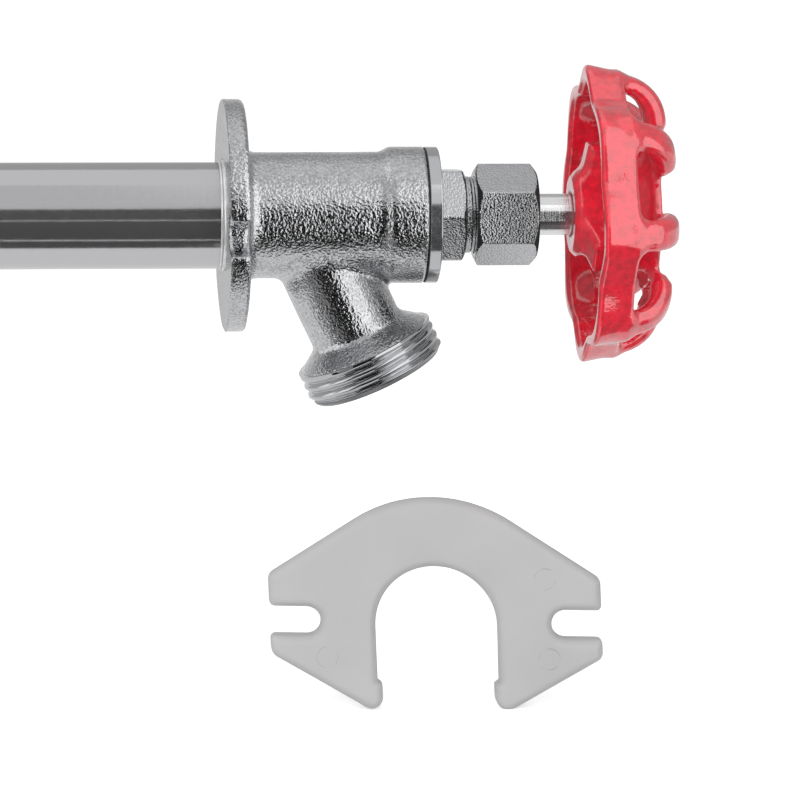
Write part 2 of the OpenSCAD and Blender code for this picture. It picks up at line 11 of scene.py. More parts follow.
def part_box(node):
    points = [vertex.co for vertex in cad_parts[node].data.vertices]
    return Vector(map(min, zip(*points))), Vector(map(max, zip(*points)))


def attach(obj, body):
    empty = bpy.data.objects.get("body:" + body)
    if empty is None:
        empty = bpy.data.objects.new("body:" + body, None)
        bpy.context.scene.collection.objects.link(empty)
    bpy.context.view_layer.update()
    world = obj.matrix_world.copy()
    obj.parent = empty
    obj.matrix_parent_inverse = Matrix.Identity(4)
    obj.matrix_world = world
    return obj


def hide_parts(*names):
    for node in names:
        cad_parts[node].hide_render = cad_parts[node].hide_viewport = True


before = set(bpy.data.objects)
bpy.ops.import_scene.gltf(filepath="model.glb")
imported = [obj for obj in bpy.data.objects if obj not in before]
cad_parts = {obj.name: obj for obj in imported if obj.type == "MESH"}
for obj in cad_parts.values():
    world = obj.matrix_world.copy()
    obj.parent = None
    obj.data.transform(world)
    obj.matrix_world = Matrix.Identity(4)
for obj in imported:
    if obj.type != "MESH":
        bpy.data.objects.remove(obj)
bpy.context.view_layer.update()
mm = 0.001
coarse = 1.0  # coarser meshes while trying things
print("frame loaded:", len(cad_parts), "nodes")


# Camera, fitted to the photograph's ellipses, flange and wheel
camera = {
    "target": (33.95, 0, -35.86),
    "distance": 948.8,
    "elevation": 0.195,  # radians above the horizon
    "yaw": 0.1039,  # radians round from straight ahead
    "roll": 0.0134,
    "lens": 223.1,
    "sensor": 36,
    "sees": (0.05, 20),  # nearest and farthest, in metres
}

yaw, lift, roll = camera["yaw"], camera["elevation"], camera["roll"]
forward = Vector((math.sin(yaw) * math.cos(lift), math.cos(yaw) * math.cos(lift), -math.sin(lift)))
right = Vector((math.cos(yaw), -math.sin(yaw), 0))
upward = right.cross(forward)
across = right * math.cos(roll) + upward * math.sin(roll)
above = upward * math.cos(roll) - right * math.sin(roll)
cameraData = bpy.data.cameras.new("camera")
cameraData.lens, cameraData.sensor_width = camera["lens"], camera["sensor"]
cameraData.clip_start, cameraData.clip_end = camera["sees"]
cameraObject = bpy.data.objects.new("camera", cameraData)
cameraObject.location = (Vector(camera["target"]) - forward * camera["distance"]) * mm
cameraObject.rotation_euler = Matrix((across, above, -forward)).transposed().to_euler()
bpy.context.scene.collection.objects.link(cameraObject)
bpy.context.scene.camera = cameraObject
bpy.context.scene.view_settings.view_transform = "Standard"
print("camera placed")


def hexColour(code):
    # sRGB hex to linear RGBA
    parts = [int(code[i:i + 2], 16) / 255 for i in (1, 3, 5)]
    return [p / 12.92 if p <= 0.04045 else ((p + 0.055) / 1.055) ** 2.4 for p in parts] + [1]


def cellScale(size):
    # Scale of a pattern with cells this many millimetres wide
    return 1 / (size * mm)


def addNode(tree, kind, inputs=None, stops=(), **settings):
    # An input that is a socket becomes a link, anything else a set value.
    # Stops are the places and colours of a colour ramp.
    node = tree.nodes.new(kind)
    for name, value in settings.items():
        setattr(node, name, value)
    for name, value in (inputs or {}).items():
        if isinstance(value, bpy.types.NodeSocket):
            tree.links.new(value, node.inputs[name])
        else:
            node.inputs[name].default_value = value
    for number, (place, colour) in enumerate(stops):
        node.color_ramp.elements[number].position = place
        node.color_ramp.elements[number].color = colour
    return node


def emptyTree(owner):
    # The tree of a material or world, with no nodes yet
    owner.use_nodes = True
    owner.node_tree.nodes.clear()
    return owner.node_tree


def newMaterial(name):
    # A material, its tree and the place that its patterns read
    material = bpy.data.materials.new(name)
    tree = emptyTree(material)
    return material, tree, addNode(tree, "ShaderNodeTexCoord").outputs["Object"]


def closeMaterial(material, inputs):
    # Gives a material its shader and output
    shader = addNode(material.node_tree, "ShaderNodeBsdfPrincipled", inputs)
    addNode(material.node_tree, "ShaderNodeOutputMaterial", {"Surface": shader.outputs[0]})
    return material


def layGrain(tree, layers):
    # Noise of several sizes, one over the other. A layer is the place it reads,
    # the width of its cells, its detail and its depth.
    noises, normal = [], {}
    for place, cell, detail, depth in layers:
        noise = addNode(tree, "ShaderNodeTexNoise", {
            "Vector": place, "Scale": cellScale(cell), "Detail": detail}).outputs["Fac"]
        noises.append(noise)
        bump = addNode(tree, "ShaderNodeBump", {"Height": noise, "Distance": depth * mm, **normal})
        normal = {"Normal": bump.outputs[0]}
    return *noises, bump.outputs[0]


# Sand casting, tumbled and chrome plated: the sand's grain stays under the
# plate, so a dark reflection breaks up into bright sparks.
casting = {
    "light": "#D3D4D6", "shade": "#C9CACC", "roughness": 0.065, "spark": (0.72, 1.12),
    "grain": 0.4875, "grainDepth": 0.15, "swell": 2.6, "swellDepth": 0.12,
}


def platedCasting():
    material, tree, place = newMaterial("plated_sand_casting")
    swell, grain, normal = layGrain(tree, [
        (place, casting["swell"], 2, casting["swellDepth"]),
        (place, casting["grain"], 1, casting["grainDepth"])])
    tint = addNode(tree, "ShaderNodeValToRGB", {"Fac": swell}, stops=(
        (0.3, hexColour(casting["shade"])), (0.7, hexColour(casting["light"])))).outputs["Color"]
    low, high = casting["spark"]
    spark = addNode(tree, "ShaderNodeMapRange", {
        "Value": grain, "From Min": 0.3, "From Max": 0.7, "To Min": low, "To Max": high}).outputs[0]
    sparkling = addNode(tree, "ShaderNodeVectorMath", {0: tint, "Scale": spark}, operation="SCALE")
    return closeMaterial(material, {
        "Base Color": sparkling.outputs[0], "Metallic": 1, "Roughness": casting["roughness"],
        "Normal": normal})


# Turned brass under bright plate: fine rings from the lathe tool, and plate
# that is a little cloudy
turning = {"ringPitch": 0.16, "ringLength": 40, "cloud": 0.909, "cloudDepth": 0.004,
           "uneven": (0.8, 1.3)}


def platedTurned(name, colour, roughness, ringDepth, ringPitch=turning["ringPitch"], metallic=1):
    material, tree, place = newMaterial(name)
    length = turning["ringLength"] / ringPitch  # the rings' cells are this many times as long
    drawn = addNode(tree, "ShaderNodeVectorMath", {
        0: place, 1: (1, 1 / length, 1 / length)}, operation="MULTIPLY").outputs[0]
    _, cloud, normal = layGrain(tree, [
        (drawn, ringPitch, 2, ringDepth), (place, turning["cloud"], 3, turning["cloudDepth"])])
    low, high = turning["uneven"]
    uneven = addNode(tree, "ShaderNodeMapRange", {
        "Value": cloud, "From Min": 0.3, "From Max": 0.7,
        "To Min": roughness * low, "To Max": roughness * high}).outputs[0]
    return closeMaterial(material, {
        "Base Color": hexColour(colour), "Metallic": metallic, "Roughness": uneven,
        "Normal": normal})


# Forged brass hexagon under plate: faces left grainy by shot blasting
forged = {"colour": "#C9CACC", "roughness": 0.1, "grain": 0.35, "grainDepth": 0.115,
          "swell": 2.381, "swellDepth": 0.06}


def platedForged():
    material, tree, place = newMaterial("plated_forged_brass")
    normal = layGrain(tree, [(place, forged["swell"], 1, forged["swellDepth"]),
                             (place, forged["grain"], 1, forged["grainDepth"])])[-1]
    return closeMaterial(material, {
        "Base Color": hexColour(forged["colour"]), "Metallic": 1, "Roughness": forged["roughness"],
        "Normal": normal})


# Vitreous style enamel over cast zinc: a deep glossy red that settles
# unevenly, with small pits and a thick clear surface.
enamel = {
    "red": "#ED082E", "deep": "#CC0626", "roughness": 0.32, "coatRoughness": 0.05, "coatIor": 2.1,
    "peel": 1.6, "peelDepth": 0.05, "speck": 0.3846, "speckDepth": 0.02,
    "pits": 3.846, "pitEdge": (0.02, 0.075), "pitDepth": 0.03,
}


def redEnamel():
    material, tree, place = newMaterial("red_enamel")
    peel, speck, normal = layGrain(tree, [
        (place, enamel["peel"], 2, enamel["peelDepth"]),
        (place, enamel["speck"], 1, enamel["speckDepth"])])
    pits = addNode(tree, "ShaderNodeTexVoronoi", {
        "Vector": place, "Scale": cellScale(enamel["pits"])}).outputs["Distance"]
    low, high = enamel["pitEdge"]
    pit = addNode(tree, "ShaderNodeMapRange", {
        "Value": pits, "From Min": low, "From Max": high}).outputs[0]
    pitted = addNode(tree, "ShaderNodeBump", {
        "Height": pit, "Distance": enamel["pitDepth"] * mm, "Normal": normal}).outputs[0]
    settled = addNode(tree, "ShaderNodeMath", {0: speck, 1: 0.5, 2: peel},
                      operation="MULTIPLY_ADD").outputs[0]
    tint = addNode(tree, "ShaderNodeValToRGB", {"Fac": settled}, stops=(
        (0.6, hexColour(enamel["deep"])), (0.9, hexColour(enamel["red"])))).outputs["Color"]
    return closeMaterial(material, {
        "Base Color": tint, "Roughness": enamel["roughness"], "Normal": pitted,
        "Coat Weight": 1, "Coat IOR": enamel["coatIor"], "Coat Roughness": enamel["coatRoughness"],
        "Coat Normal": pitted})


# Injection moulded polypropylene: satin, with faint flow marks and the broken
# rings that the ejector pins leave: a shallow dent, with painted shade darkening the colour along
# them
plastic = {
    "light": "#B1B1B1", "shade": "#ACACAC", "roughness": 0.48,
    "skin": 0.5263, "skinDepth": 0.006, "flow": 16.67, "patch": 2.381, "patchEdge": (0.42, 0.62),
    "pins": [(62.3, -70.9), (63.45, -86.7), (20.3, -85.7)],  # x and z
    "pinRadius": 2.05, "pinLine": 0.09, "pinDepth": -0.05, "pinPaintedShade": 0.2,
}


def greyPlastic():
    material, tree, place = newMaterial("grey_moulded_plastic")
    parts = addNode(tree, "ShaderNodeSeparateXYZ", {"Vector": place}).outputs
    flat = addNode(tree, "ShaderNodeCombineXYZ", {"X": parts["X"], "Z": parts["Z"]}).outputs[0]
    marks = 0
    for x, z in plastic["pins"]:
        away = addNode(tree, "ShaderNodeVectorMath", {0: flat, 1: (x * mm, 0, z * mm)},
                       operation="DISTANCE").outputs["Value"]
        ring = addNode(tree, "ShaderNodeMath", {
            0: away, 1: plastic["pinRadius"] * mm, 2: plastic["pinLine"] * mm}, operation="COMPARE")
        marks = addNode(tree, "ShaderNodeMath", {0: marks, 1: ring.outputs[0]},
                        operation="ADD").outputs[0]
    _, normal = layGrain(tree, [(place, plastic["skin"], 2, plastic["skinDepth"])])
    patch, flow = (addNode(tree, "ShaderNodeTexNoise", {
        "Vector": place, "Scale": cellScale(plastic[cell]), "Detail": detail}).outputs["Fac"]
        for cell, detail in (("patch", 1), ("flow", 2)))
    low, high = plastic["patchEdge"]
    kept = addNode(tree, "ShaderNodeMapRange", {
        "Value": patch, "From Min": low, "From Max": high}).outputs[0]
    marks = addNode(tree, "ShaderNodeMath", {0: marks, 1: kept}, operation="MULTIPLY").outputs[0]
    marked = addNode(tree, "ShaderNodeBump", {
        "Height": marks, "Distance": plastic["pinDepth"] * mm, "Normal": normal}).outputs[0]
    tint = addNode(tree, "ShaderNodeValToRGB", {"Fac": flow}, stops=(
        (0.3, hexColour(plastic["shade"])), (0.7, hexColour(plastic["light"])))).outputs["Color"]
    # Painted shade: the colour is darkened along the pin rings, as if their grooves lay in shadow
    darker = addNode(tree, "ShaderNodeMath", {0: marks, 1: -plastic["pinPaintedShade"], 2: 1.0},
                     operation="MULTIPLY_ADD").outputs[0]
    shown = addNode(tree, "ShaderNodeVectorMath", {0: tint, "Scale": darker}, operation="SCALE")
    return closeMaterial(material, {
        "Base Color": shown.outputs[0], "Roughness": plastic["roughness"], "Normal": marked})


# Solder and the hidden pieces: each has its own colour, gloss and fine grain
def plainFinish(name, colour, roughness, metallic, cell, depth):
    material, tree, place = newMaterial(name)
    grain, normal = layGrain(tree, [(place, cell, 3, depth)])
    light = hexColour(colour)
    shade = [part * 0.82 for part in light[:3]] + [1]
    tint = addNode(tree, "ShaderNodeValToRGB", {"Fac": grain}, stops=((0, shade), (1, light)))
    return closeMaterial(material, {
        "Base Color": tint.outputs["Color"], "Roughness": roughness, "Metallic": metallic,
        "Normal": normal})


castingFinish = platedCasting()
forgedFinish = platedForged()
# Name, colour, roughness and depth of the tool's rings
machinedFinish = platedTurned("plated_machined_brass", "#C6C7C9", 0.12, 0.004, metallic=0.93)
facedFinish = platedTurned("plated_faced_brass", "#9A9B9D", 0.24, 0.003)  # greyed by the tool
tubeFinish = platedTurned("chromed_tube", "#CCCCCE", 0.12, 0.0025, 0.5, 0.93)  # long clear streaks
threadFinish = platedTurned("plated_cut_thread", "#C6C7C9", 0.06, 0.0015)  # crests flash
lipShadedFinish = platedTurned("plated_turned_lip_painted_shade", "#848587", 0.22, 0.003)  # the cut edge, its colour darkened as painted shade
stemFinish = platedTurned("plated_stem", "#F0F1F2", 0.12, 0.01, metallic=0.95)  # nearly white
enamelFinish = redEnamel()
plasticFinish = greyPlastic()
# Name, colour, roughness, metallic, width and depth of the grain
solderFinish = plainFinish("tin_solder", "#EAEAEA", 0.25, 0.55, 1.111, 0.04)  # pale, a bit lumpy
brassFinish = plainFinish("bare_brass", "#C9A24E", 0.3, 1, 0.6667, 0.01)  # warm and satin
rubberFinish = plainFinish("black_rubber", "#1C1C1C", 0.6, 0, 0.8333, 0.02)  # matt
packingFinish = plainFinish("graphite_packing", "#34353A", 0.55, 0, 1.25, 0.08)  # coarse cord
steelFinish = plainFinish("bare_steel", "#B9BBBD", 0.28, 1, 0.625, 0.008)  # plain grey gloss
print("materials made")


def linkMesh(name, points, faces, smooth=True):
    mesh = bpy.data.meshes.new(name)
    mesh.from_pydata((np.asarray(points, float) * mm).tolist(), [], faces)
    mesh.validate()
    if smooth:
        mesh.polygons.foreach_set("use_smooth", [True] * len(mesh.polygons))
    piece = bpy.data.objects.new(name, mesh)
    bpy.context.scene.collection.objects.link(piece)
    return piece


def settle(piece, carrier, finish, node):
    # Puts the finish on a piece and hands it to the frame
    piece.data.materials.clear()
    piece.data.materials.append(finish)
    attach(piece, carrier)
    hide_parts(node)


# Signed distances in millimetres, negative inside
def softUnion(a, b, k):
    h = np.clip(0.5 + 0.5 * (b - a) / k, 0, 1)
    return b * (1 - h) + a * h - k * h * (1 - h)


def softMeet(a, b, k):
    return -softUnion(-a, -b, k)


def softCut(a, b, k):
    return -softUnion(-a, b, k)


def withinBoth(a, b):
    return np.hypot(np.maximum(a, 0), np.maximum(b, 0)) + np.minimum(np.maximum(a, b), 0)


def drum(along, radial, low, high, radius):
    # Solid cylinder from low to high along its axis
    return withinBoth(np.abs(along - (low + high) / 2) - (high - low) / 2, radial - radius)


def foldAround(angle, count):
    # Angle from the nearest of so many equal directions
    pitch = 2 * math.pi / count
    return (angle + pitch / 2) % pitch - pitch / 2


def outlineDistance(u, v, outline):
    # Signed distance to a closed outline in the plane
    best = np.full(u.shape, 1e9)
    inside = np.zeros(u.shape, bool)
    for (ax, ay), (bx, by) in zip(outline, outline[1:] + outline[:1]):
        ex, ey = bx - ax, by - ay
        px, py = u - ax, v - ay
        t = np.clip((px * ex + py * ey) / (ex * ex + ey * ey + 1e-12), 0, 1)
        best = np.minimum(best, (px - ex * t) ** 2 + (py - ey * t) ** 2)
        if ay != by:
            crosses = (ay > v) != (by > v)
            inside ^= crosses & (u < ex * (v - ay) / ey + ax)
    return np.where(inside, -1, 1) * np.sqrt(best)


def meshFromField(name, field, low, high, cell):
    # Surface nets over a grid, then each point is moved on to the surface. Only
    # blocks near the surface are filled, and a field is read in batches.
    block, batch, probe = 8, 200000, 0.02
    cell *= coarse
    low, high = np.array(low, float), np.array(high, float)
    blocks = np.ceil((high - low) / (cell * block)).astype(int)
    count = blocks * block
    step = cell * block
    centres = np.stack(np.meshgrid(*[low[i] + (np.arange(blocks[i]) + 0.5) * step
                                     for i in range(3)], indexing="ij"), -1)
    rough = field(centres.reshape(-1, 3)).reshape(blocks)
    near = np.abs(rough) < step * 1.15 + 1
    full = [np.repeat(np.arange(blocks[i]), block) for i in range(3)]
    full = [np.append(f, f[-1]) for f in full]
    values = rough[np.ix_(*full)].astype(np.float32)
    mask = near[np.ix_(*full)]
    index = np.argwhere(mask)
    for start in range(0, len(index), batch):
        part = index[start:start + batch]
        values[tuple(part.T)] = field(low + part * cell)
    solid = values < 0
    total = np.zeros(tuple(count) + (3,))
    hits = np.zeros(tuple(count))

    def corner(offset):
        return values[tuple(slice(o, o + n) for o, n in zip(offset, count))]

    for axis in range(3):
        others = [i for i in range(3) if i != axis]
        for u in (0, 1):
            for w in (0, 1):
                near, far = [0, 0, 0], [1, 1, 1]
                near[others[0]], near[others[1]] = far[others[0]], far[others[1]] = u, w
                a, b = corner(near), corner(far)
                cut = (a < 0) != (b < 0)
                t = np.where(cut, a / np.where(cut, a - b, 1), 0)
                where = np.zeros(tuple(count) + (3,))
                where[..., others[0]], where[..., others[1]], where[..., axis] = u, w, t
                total += where * cut[..., None]
                hits += cut
    cells = np.argwhere(hits > 0)
    number = np.full(tuple(count), -1)
    number[tuple(cells.T)] = np.arange(len(cells))
    points = low + (cells + total[tuple(cells.T)] / hits[tuple(cells.T)][:, None]) * cell
    quads = []
    for axis in range(3):
        u, w = [(1, 2), (2, 0), (0, 1)][axis]
        first = [slice(0, n) for n in count]
        second = list(first)
        second[axis] = slice(1, count[axis] + 1)
        a, b = solid[tuple(first)], solid[tuple(second)]
        for rising in (True, False):
            found = np.argwhere((a != b) & (a == rising))
            found = found[(found[:, u] > 0) & (found[:, w] > 0)]
            stepU, stepW = np.eye(3, dtype=int)[u], np.eye(3, dtype=int)[w]
            ring = [found - stepU - stepW, found - stepW, found, found - stepU]
            ids = np.stack([number[tuple(r.T)] for r in ring], 1)
            ids = ids[(ids >= 0).all(1)]
            quads.append(ids if rising else ids[:, ::-1])
    quads = np.concatenate(quads)
    for _ in range(3):
        here = field(points)
        slope = np.stack([field(points + side) - field(points - side)
                          for side in np.eye(3) * probe], 1) / (2 * probe)
        move = here[:, None] * slope / np.maximum((slope ** 2).sum(1), 0.2)[:, None]
        length = np.linalg.norm(move, axis=1, keepdims=True)
        points = points - move * np.minimum(1, 0.5 * cell / np.maximum(length, 1e-9))
    piece = linkMesh(name, points, quads.tolist())
    print(name, "meshed:", len(quads), "faces")
    return piece


wander = {"seed": 7, "waves": 14, "softness": 3.2}
seeded = np.random.default_rng(wander["seed"])
waves = [(seeded.normal(size=3) / wander["softness"], seeded.uniform(0, 2 * math.pi))
         for _ in range(wander["waves"])]


def unevenness(p, depth):
    # The slow waviness of a casting, a few hundredths of a millimetre
    return depth * sum(np.sin(p @ w + shift) for w, shift in waves) / math.sqrt(len(waves))


# Cast body: flange, barrel, collar, neck and flare in one skin
body = {
    "cell": 0.42, "low": (-1.2, -23.2, -33), "high": (42, 23.2, 23.2),
    "flangeRadius": 22.0, "flangeThick": 3.8, "flangeEdge": 0.9, "rearEdge": 0.15,
    "barrelRadius": 11.95, "barrelEnd": 29.8,
    "collarRadius": 12.95, "collarStart": 31.0, "collarEnd": 37.8, "collarEdge": 0.25,
    "collarSoft": 0.5, "flareSoft": 1.0,
    "rootFillet": 2.6, "neckFillet": 1.5, "stepFillet": 0.75, "flareFillet": 0.9,
    "slotWidth": 6.3, "slotCentre": 17.5, "slotTurn": 3, "slotReach": 4, "slotEdge": 0.9,
    "socketRadius": 10.15, "socketDepth": 9.0, "socketBevel": 0.45,
    "boreRadius": 9.55, "bonnetBore": 10.0, "bonnetStart": 26.2,
    "outletX": 15.0, "outletTilt": 25.2, "neckRadius": 8.95, "neckEnd": 24.5,
    "flareEnd": 28.1, "flareRadius": 13.6, "skinEnd": 28.5,
    "neckBore": 6.2, "taperStart": 23.5, "mouthStart": 27.1, "mouthRadius": 9.0,
    "waviness": 0.035, "warp": (0.42, 0.36),
}
tilt = math.radians(body["outletTilt"])
outletAxis = np.array([math.sin(tilt), 0, -math.cos(tilt)])
outletStart = np.array([body["outletX"], 0, 0])


def bodyField(p):
    # Parts run a millimetre or more into each other, so that they join
    x, radial = p[:, 0], np.hypot(p[:, 1], p[:, 2])
    # The flange came out of the sand slightly warped
    lean = np.clip(p[:, 1:] / body["flangeRadius"], 0, 1) @ np.array(body["warp"])
    edge = body["flangeEdge"]
    flange = drum(x + lean, radial, -3, body["flangeThick"] - edge, body["flangeRadius"] - edge)
    flange = flange - edge
    barrel = drum(x, radial, 1, body["collarStart"] + 1, body["barrelRadius"])
    edge, start = body["collarEdge"], body["barrelEnd"]
    collar = drum(x, radial, start, body["collarEnd"] - edge, body["collarRadius"] - edge) - edge
    slope = (body["collarRadius"] - body["barrelRadius"]) / (body["collarStart"] - start)
    cone = radial - body["barrelRadius"] - slope * (x - start)
    collar = softMeet(collar, cone / math.hypot(1, slope), body["collarSoft"])
    away = p - outletStart
    along = away @ outletAxis
    out = np.linalg.norm(away - along[:, None] * outletAxis, axis=1)
    neck = drum(along, out, -2, body["neckEnd"] + 1, body["neckRadius"])
    slope = (body["flareRadius"] - body["neckRadius"]) / (body["flareEnd"] - body["neckEnd"])
    cone = out - body["neckRadius"] - slope * (along - body["neckEnd"])
    flare = drum(along, out, body["neckEnd"] - 1, body["skinEnd"], body["flareRadius"])
    flare = softMeet(flare, cone / math.hypot(1, slope), body["flareSoft"])
    shape = softUnion(barrel, collar, body["stepFillet"])
    shape = softUnion(shape, softUnion(neck, flare, body["flareFillet"]), body["neckFillet"])
    shape = softUnion(shape, flange, body["rootFillet"])
    shape = shape + unevenness(p, body["waviness"])
    shape = softMeet(shape, -x - lean, body["rearEdge"])
    turn = math.radians(body["slotTurn"])
    side = np.abs(p[:, 1] * math.cos(turn) + p[:, 2] * math.sin(turn))
    height = p[:, 2] * math.cos(turn) - p[:, 1] * math.sin(turn)
    slot = np.hypot(np.maximum(body["slotCentre"] - side, 0), height) - body["slotWidth"] / 2
    slot = np.maximum(slot, np.abs(x - body["flangeThick"] / 2) - body["slotReach"])
    shape = softCut(shape, slot, body["slotEdge"])
    bevel = np.maximum((radial + x - body["socketRadius"] - body["socketBevel"]) / math.sqrt(2),
                       np.abs(x) - 2 * body["socketBevel"])
    share = np.clip((along - body["taperStart"]) / (body["mouthStart"] - body["taperStart"]), 0, 1)
    outBore = out - body["neckBore"] - (body["mouthRadius"] - body["neckBore"]) * share
    hollow = np.minimum.reduce([
        drum(x, radial, -2, body["socketDepth"], body["socketRadius"]), bevel,
        drum(x, radial, -2, body["collarEnd"] + 2, body["boreRadius"]),
        drum(x, radial, body["bonnetStart"], body["collarEnd"] + 2, body["bonnetBore"]),
        np.maximum(outBore, -along)])
    return np.maximum(shape, -hollow)


castBody = meshFromField("cast_body", bodyField, body["low"], body["high"], body["cell"])
settle(castBody, "body", castingFinish, "body")


def splitFaces(piece, name, wanted):
    # Moves the faces whose centre passes the test to a piece of their own
    mesh = piece.data
    centres = np.empty(len(mesh.polygons) * 3)
    mesh.polygons.foreach_get("center", centres)
    chosen = wanted(centres.reshape(-1, 3) / mm)
    points = np.empty(len(mesh.vertices) * 3)
    mesh.vertices.foreach_get("co", points)
    faces = [list(face.vertices) for face in mesh.polygons]
    used = sorted({i for face, take in zip(faces, chosen) if take for i in face})
    number = {old: new for new, old in enumerate(used)}
    part = linkMesh(name, points.reshape(-1, 3)[used] / mm,
                    [[number[i] for i in face] for face, take in zip(faces, chosen) if take])
    work = bmesh.new()
    work.from_mesh(mesh)
    work.faces.ensure_lookup_table()
    bmesh.ops.delete(work, geom=[work.faces[i] for i in np.flatnonzero(chosen)], context="FACES")
    work.to_mesh(mesh)
    work.free()
    return part


def onRearFace(centres):
    # The flat ring behind the flange, which was faced on the lathe
    radial = np.hypot(centres[:, 1], centres[:, 2])
    return (centres[:, 0] < 0.12) & (radial > 10.7) & (radial < 21.9)


rearFace = splitFaces(castBody, "flange_rear_face", onRearFace)
settle(rearFace, "body", facedFinish, "body")


def roundProfile(points, step):
    # (along, radius, rounding) corners of a closed profile become short arcs,
    # with a point beyond each end of an arc that keeps the flats flat
    made = []
    held = 0.35
    for i, point in enumerate(points):
        here = np.array(point[:2], float)
        if len(point) > 2:
            a = np.array(points[i - 1][:2], float) - here
            c = np.array(points[(i + 1) % len(points)][:2], float) - here
            a, c = a / np.linalg.norm(a), c / np.linalg.norm(c)
            half = math.acos(max(-1, min(1, float(a @ c)))) / 2
            reach = point[2] / math.tan(half)
            p, q = here + a * reach, here + c * reach
            made.append(here + a * reach * (1 + held))
            made += [(1 - t) ** 2 * p + 2 * t * (1 - t) * here + t * t * q
                     for t in (0, 0.25, 0.5, 0.75, 1)]
            made.append(here + c * reach * (1 + held))
        else:
            made.append(here)
    dense = []
    for p, q in zip(made, made[1:] + made[:1]):
        pieces = max(1, math.ceil(float(np.linalg.norm(q - p)) / step))
        dense += [p + (q - p) * k / pieces for k in range(pieces)]
    return dense


def turned(name, points, segments, step, clip, ripple):
    # A lathe piece round +X. clip trims its radius and ripple moves its points.
    profile = np.array(roundProfile(points, step * coarse))
    segments = int(segments / coarse)
    angle = (np.arange(segments) * 2 * math.pi / segments)[None, :]
    along = np.repeat(profile[:, 0][:, None], segments, 1)
    radius = np.repeat(profile[:, 1][:, None], segments, 1)
    if clip:
        radius = clip(along, radius, angle)
    if ripple:
        along, radius = ripple(along, radius, angle)
    points = np.stack([along, radius * np.cos(angle), radius * np.sin(angle)], -1)
    rows = len(profile)
    number = np.arange(rows * segments).reshape(rows, segments)
    below, beside = np.roll(number, -1, 0), np.roll(number, -1, 1)
    faces = np.stack([number, below, np.roll(below, -1, 1), beside], -1).reshape(-1, 4)
    piece = linkMesh(name, points.reshape(-1, 3), faces.tolist())
    work = bmesh.new()
    work.from_mesh(piece.data)
    bmesh.ops.remove_doubles(work, verts=work.verts, dist=0.000002)
    bmesh.ops.recalc_face_normals(work, faces=work.faces)
    work.to_mesh(piece.data)
    work.free()
    return piece


def flatsClip(sides, width, start, end, turn=0, soft=0.28):
    # Cuts a turned blank down to flats between two stations
    def clip(along, radius, angle):
        limit = width / 2 / np.cos(foldAround(angle - math.radians(turn), sides)) + 0 * radius
        within = (along > start - 0.001) & (along < end + 0.001)
        return np.where(within, softUnion(radius, limit, soft), radius)
    return clip


def cutThread():
    # Geometry nodes that cut a helical groove in a turned blank lying on +X
    tree = bpy.data.node_groups.new("cut_thread", "GeometryNodeTree")
    sockets = [("Geometry", "INPUT", "Geometry")]
    sockets += [(name, "INPUT", "Float") for name in (
        "Start", "End", "Pitch", "Depth", "Least Radius", "Run Out", "Sharpness")]
    sockets += [("Finish", "INPUT", "Material"), ("Geometry", "OUTPUT", "Geometry")]
    for name, way, kind in sockets:
        tree.interface.new_socket(name, in_out=way, socket_type="NodeSocket" + kind)
    given = addNode(tree, "NodeGroupInput").outputs
    place = addNode(tree, "GeometryNodeInputPosition").outputs[0]
    parts = addNode(tree, "ShaderNodeSeparateXYZ", {0: place}).outputs
    radial = addNode(tree, "ShaderNodeCombineXYZ", {"Y": parts["Y"], "Z": parts["Z"]}).outputs[0]
    radius = addNode(tree, "ShaderNodeVectorMath", {0: radial}, operation="LENGTH").outputs["Value"]
    outward = addNode(tree, "ShaderNodeVectorMath", {0: radial}, operation="NORMALIZE").outputs[0]
    values = {socket.name: socket for socket in (*given, *parts)}
    for result, operation, first, second in (
            ("angle", "ARCTAN2", "Z", "Y"),
            ("turned", "DIVIDE", "angle", 2 * math.pi),
            ("gone", "SUBTRACT", "X", "Start"),
            ("pitches", "DIVIDE", "gone", "Pitch"),
            ("behind", "SUBTRACT", "pitches", "turned"),
            ("phase", "FRACT", "behind", 0),
            ("halfTurn", "MULTIPLY", "phase", math.pi),
            ("wave", "SINE", "halfTurn", 0),
            ("hump", "ABSOLUTE", "wave", 0),
            ("crest", "POWER", "hump", "Sharpness"),
            ("groove", "SUBTRACT", 1, "crest"),
            ("startFull", "ADD", "Start", "Run Out"),
            ("endFull", "SUBTRACT", "End", "Run Out")):
        inputs = {0: values.get(first, first), 1: values.get(second, second)}
        values[result] = addNode(tree, "ShaderNodeMath", inputs, operation=operation).outputs[0]
    amount = addNode(tree, "ShaderNodeMath", {0: values["groove"], 1: values["Depth"]},
                     operation="MULTIPLY").outputs[0]
    for edge, full in (("Start", "startFull"), ("End", "endFull")):
        fade = addNode(tree, "ShaderNodeMapRange", {
            "Value": values["X"], "From Min": values[edge], "From Max": values[full]},
            interpolation_type="SMOOTHSTEP").outputs["Result"]
        amount = addNode(tree, "ShaderNodeMath", {0: amount, 1: fade},
                         operation="MULTIPLY").outputs[0]
    inward = addNode(tree, "ShaderNodeMath", {0: amount, 1: -1}, operation="MULTIPLY").outputs[0]
    offset = addNode(tree, "ShaderNodeVectorMath", {0: outward, "Scale": inward}, operation="SCALE")
    outside = addNode(tree, "FunctionNodeCompare", {0: radius, 1: given["Least Radius"]},
                      data_type="FLOAT", operation="GREATER_THAN")
    moved = addNode(tree, "GeometryNodeSetPosition", {
        0: given["Geometry"], "Selection": outside.outputs[0], "Offset": offset.outputs[0]})
    real = addNode(tree, "GeometryNodeRealizeInstances", {0: moved.outputs[0]})
    coated = addNode(tree, "GeometryNodeSetMaterial", {
        0: real.outputs[0], "Material": given["Finish"]})
    addNode(tree, "NodeGroupOutput", {0: coated.outputs[0]})
    return tree


threadTree = cutThread()


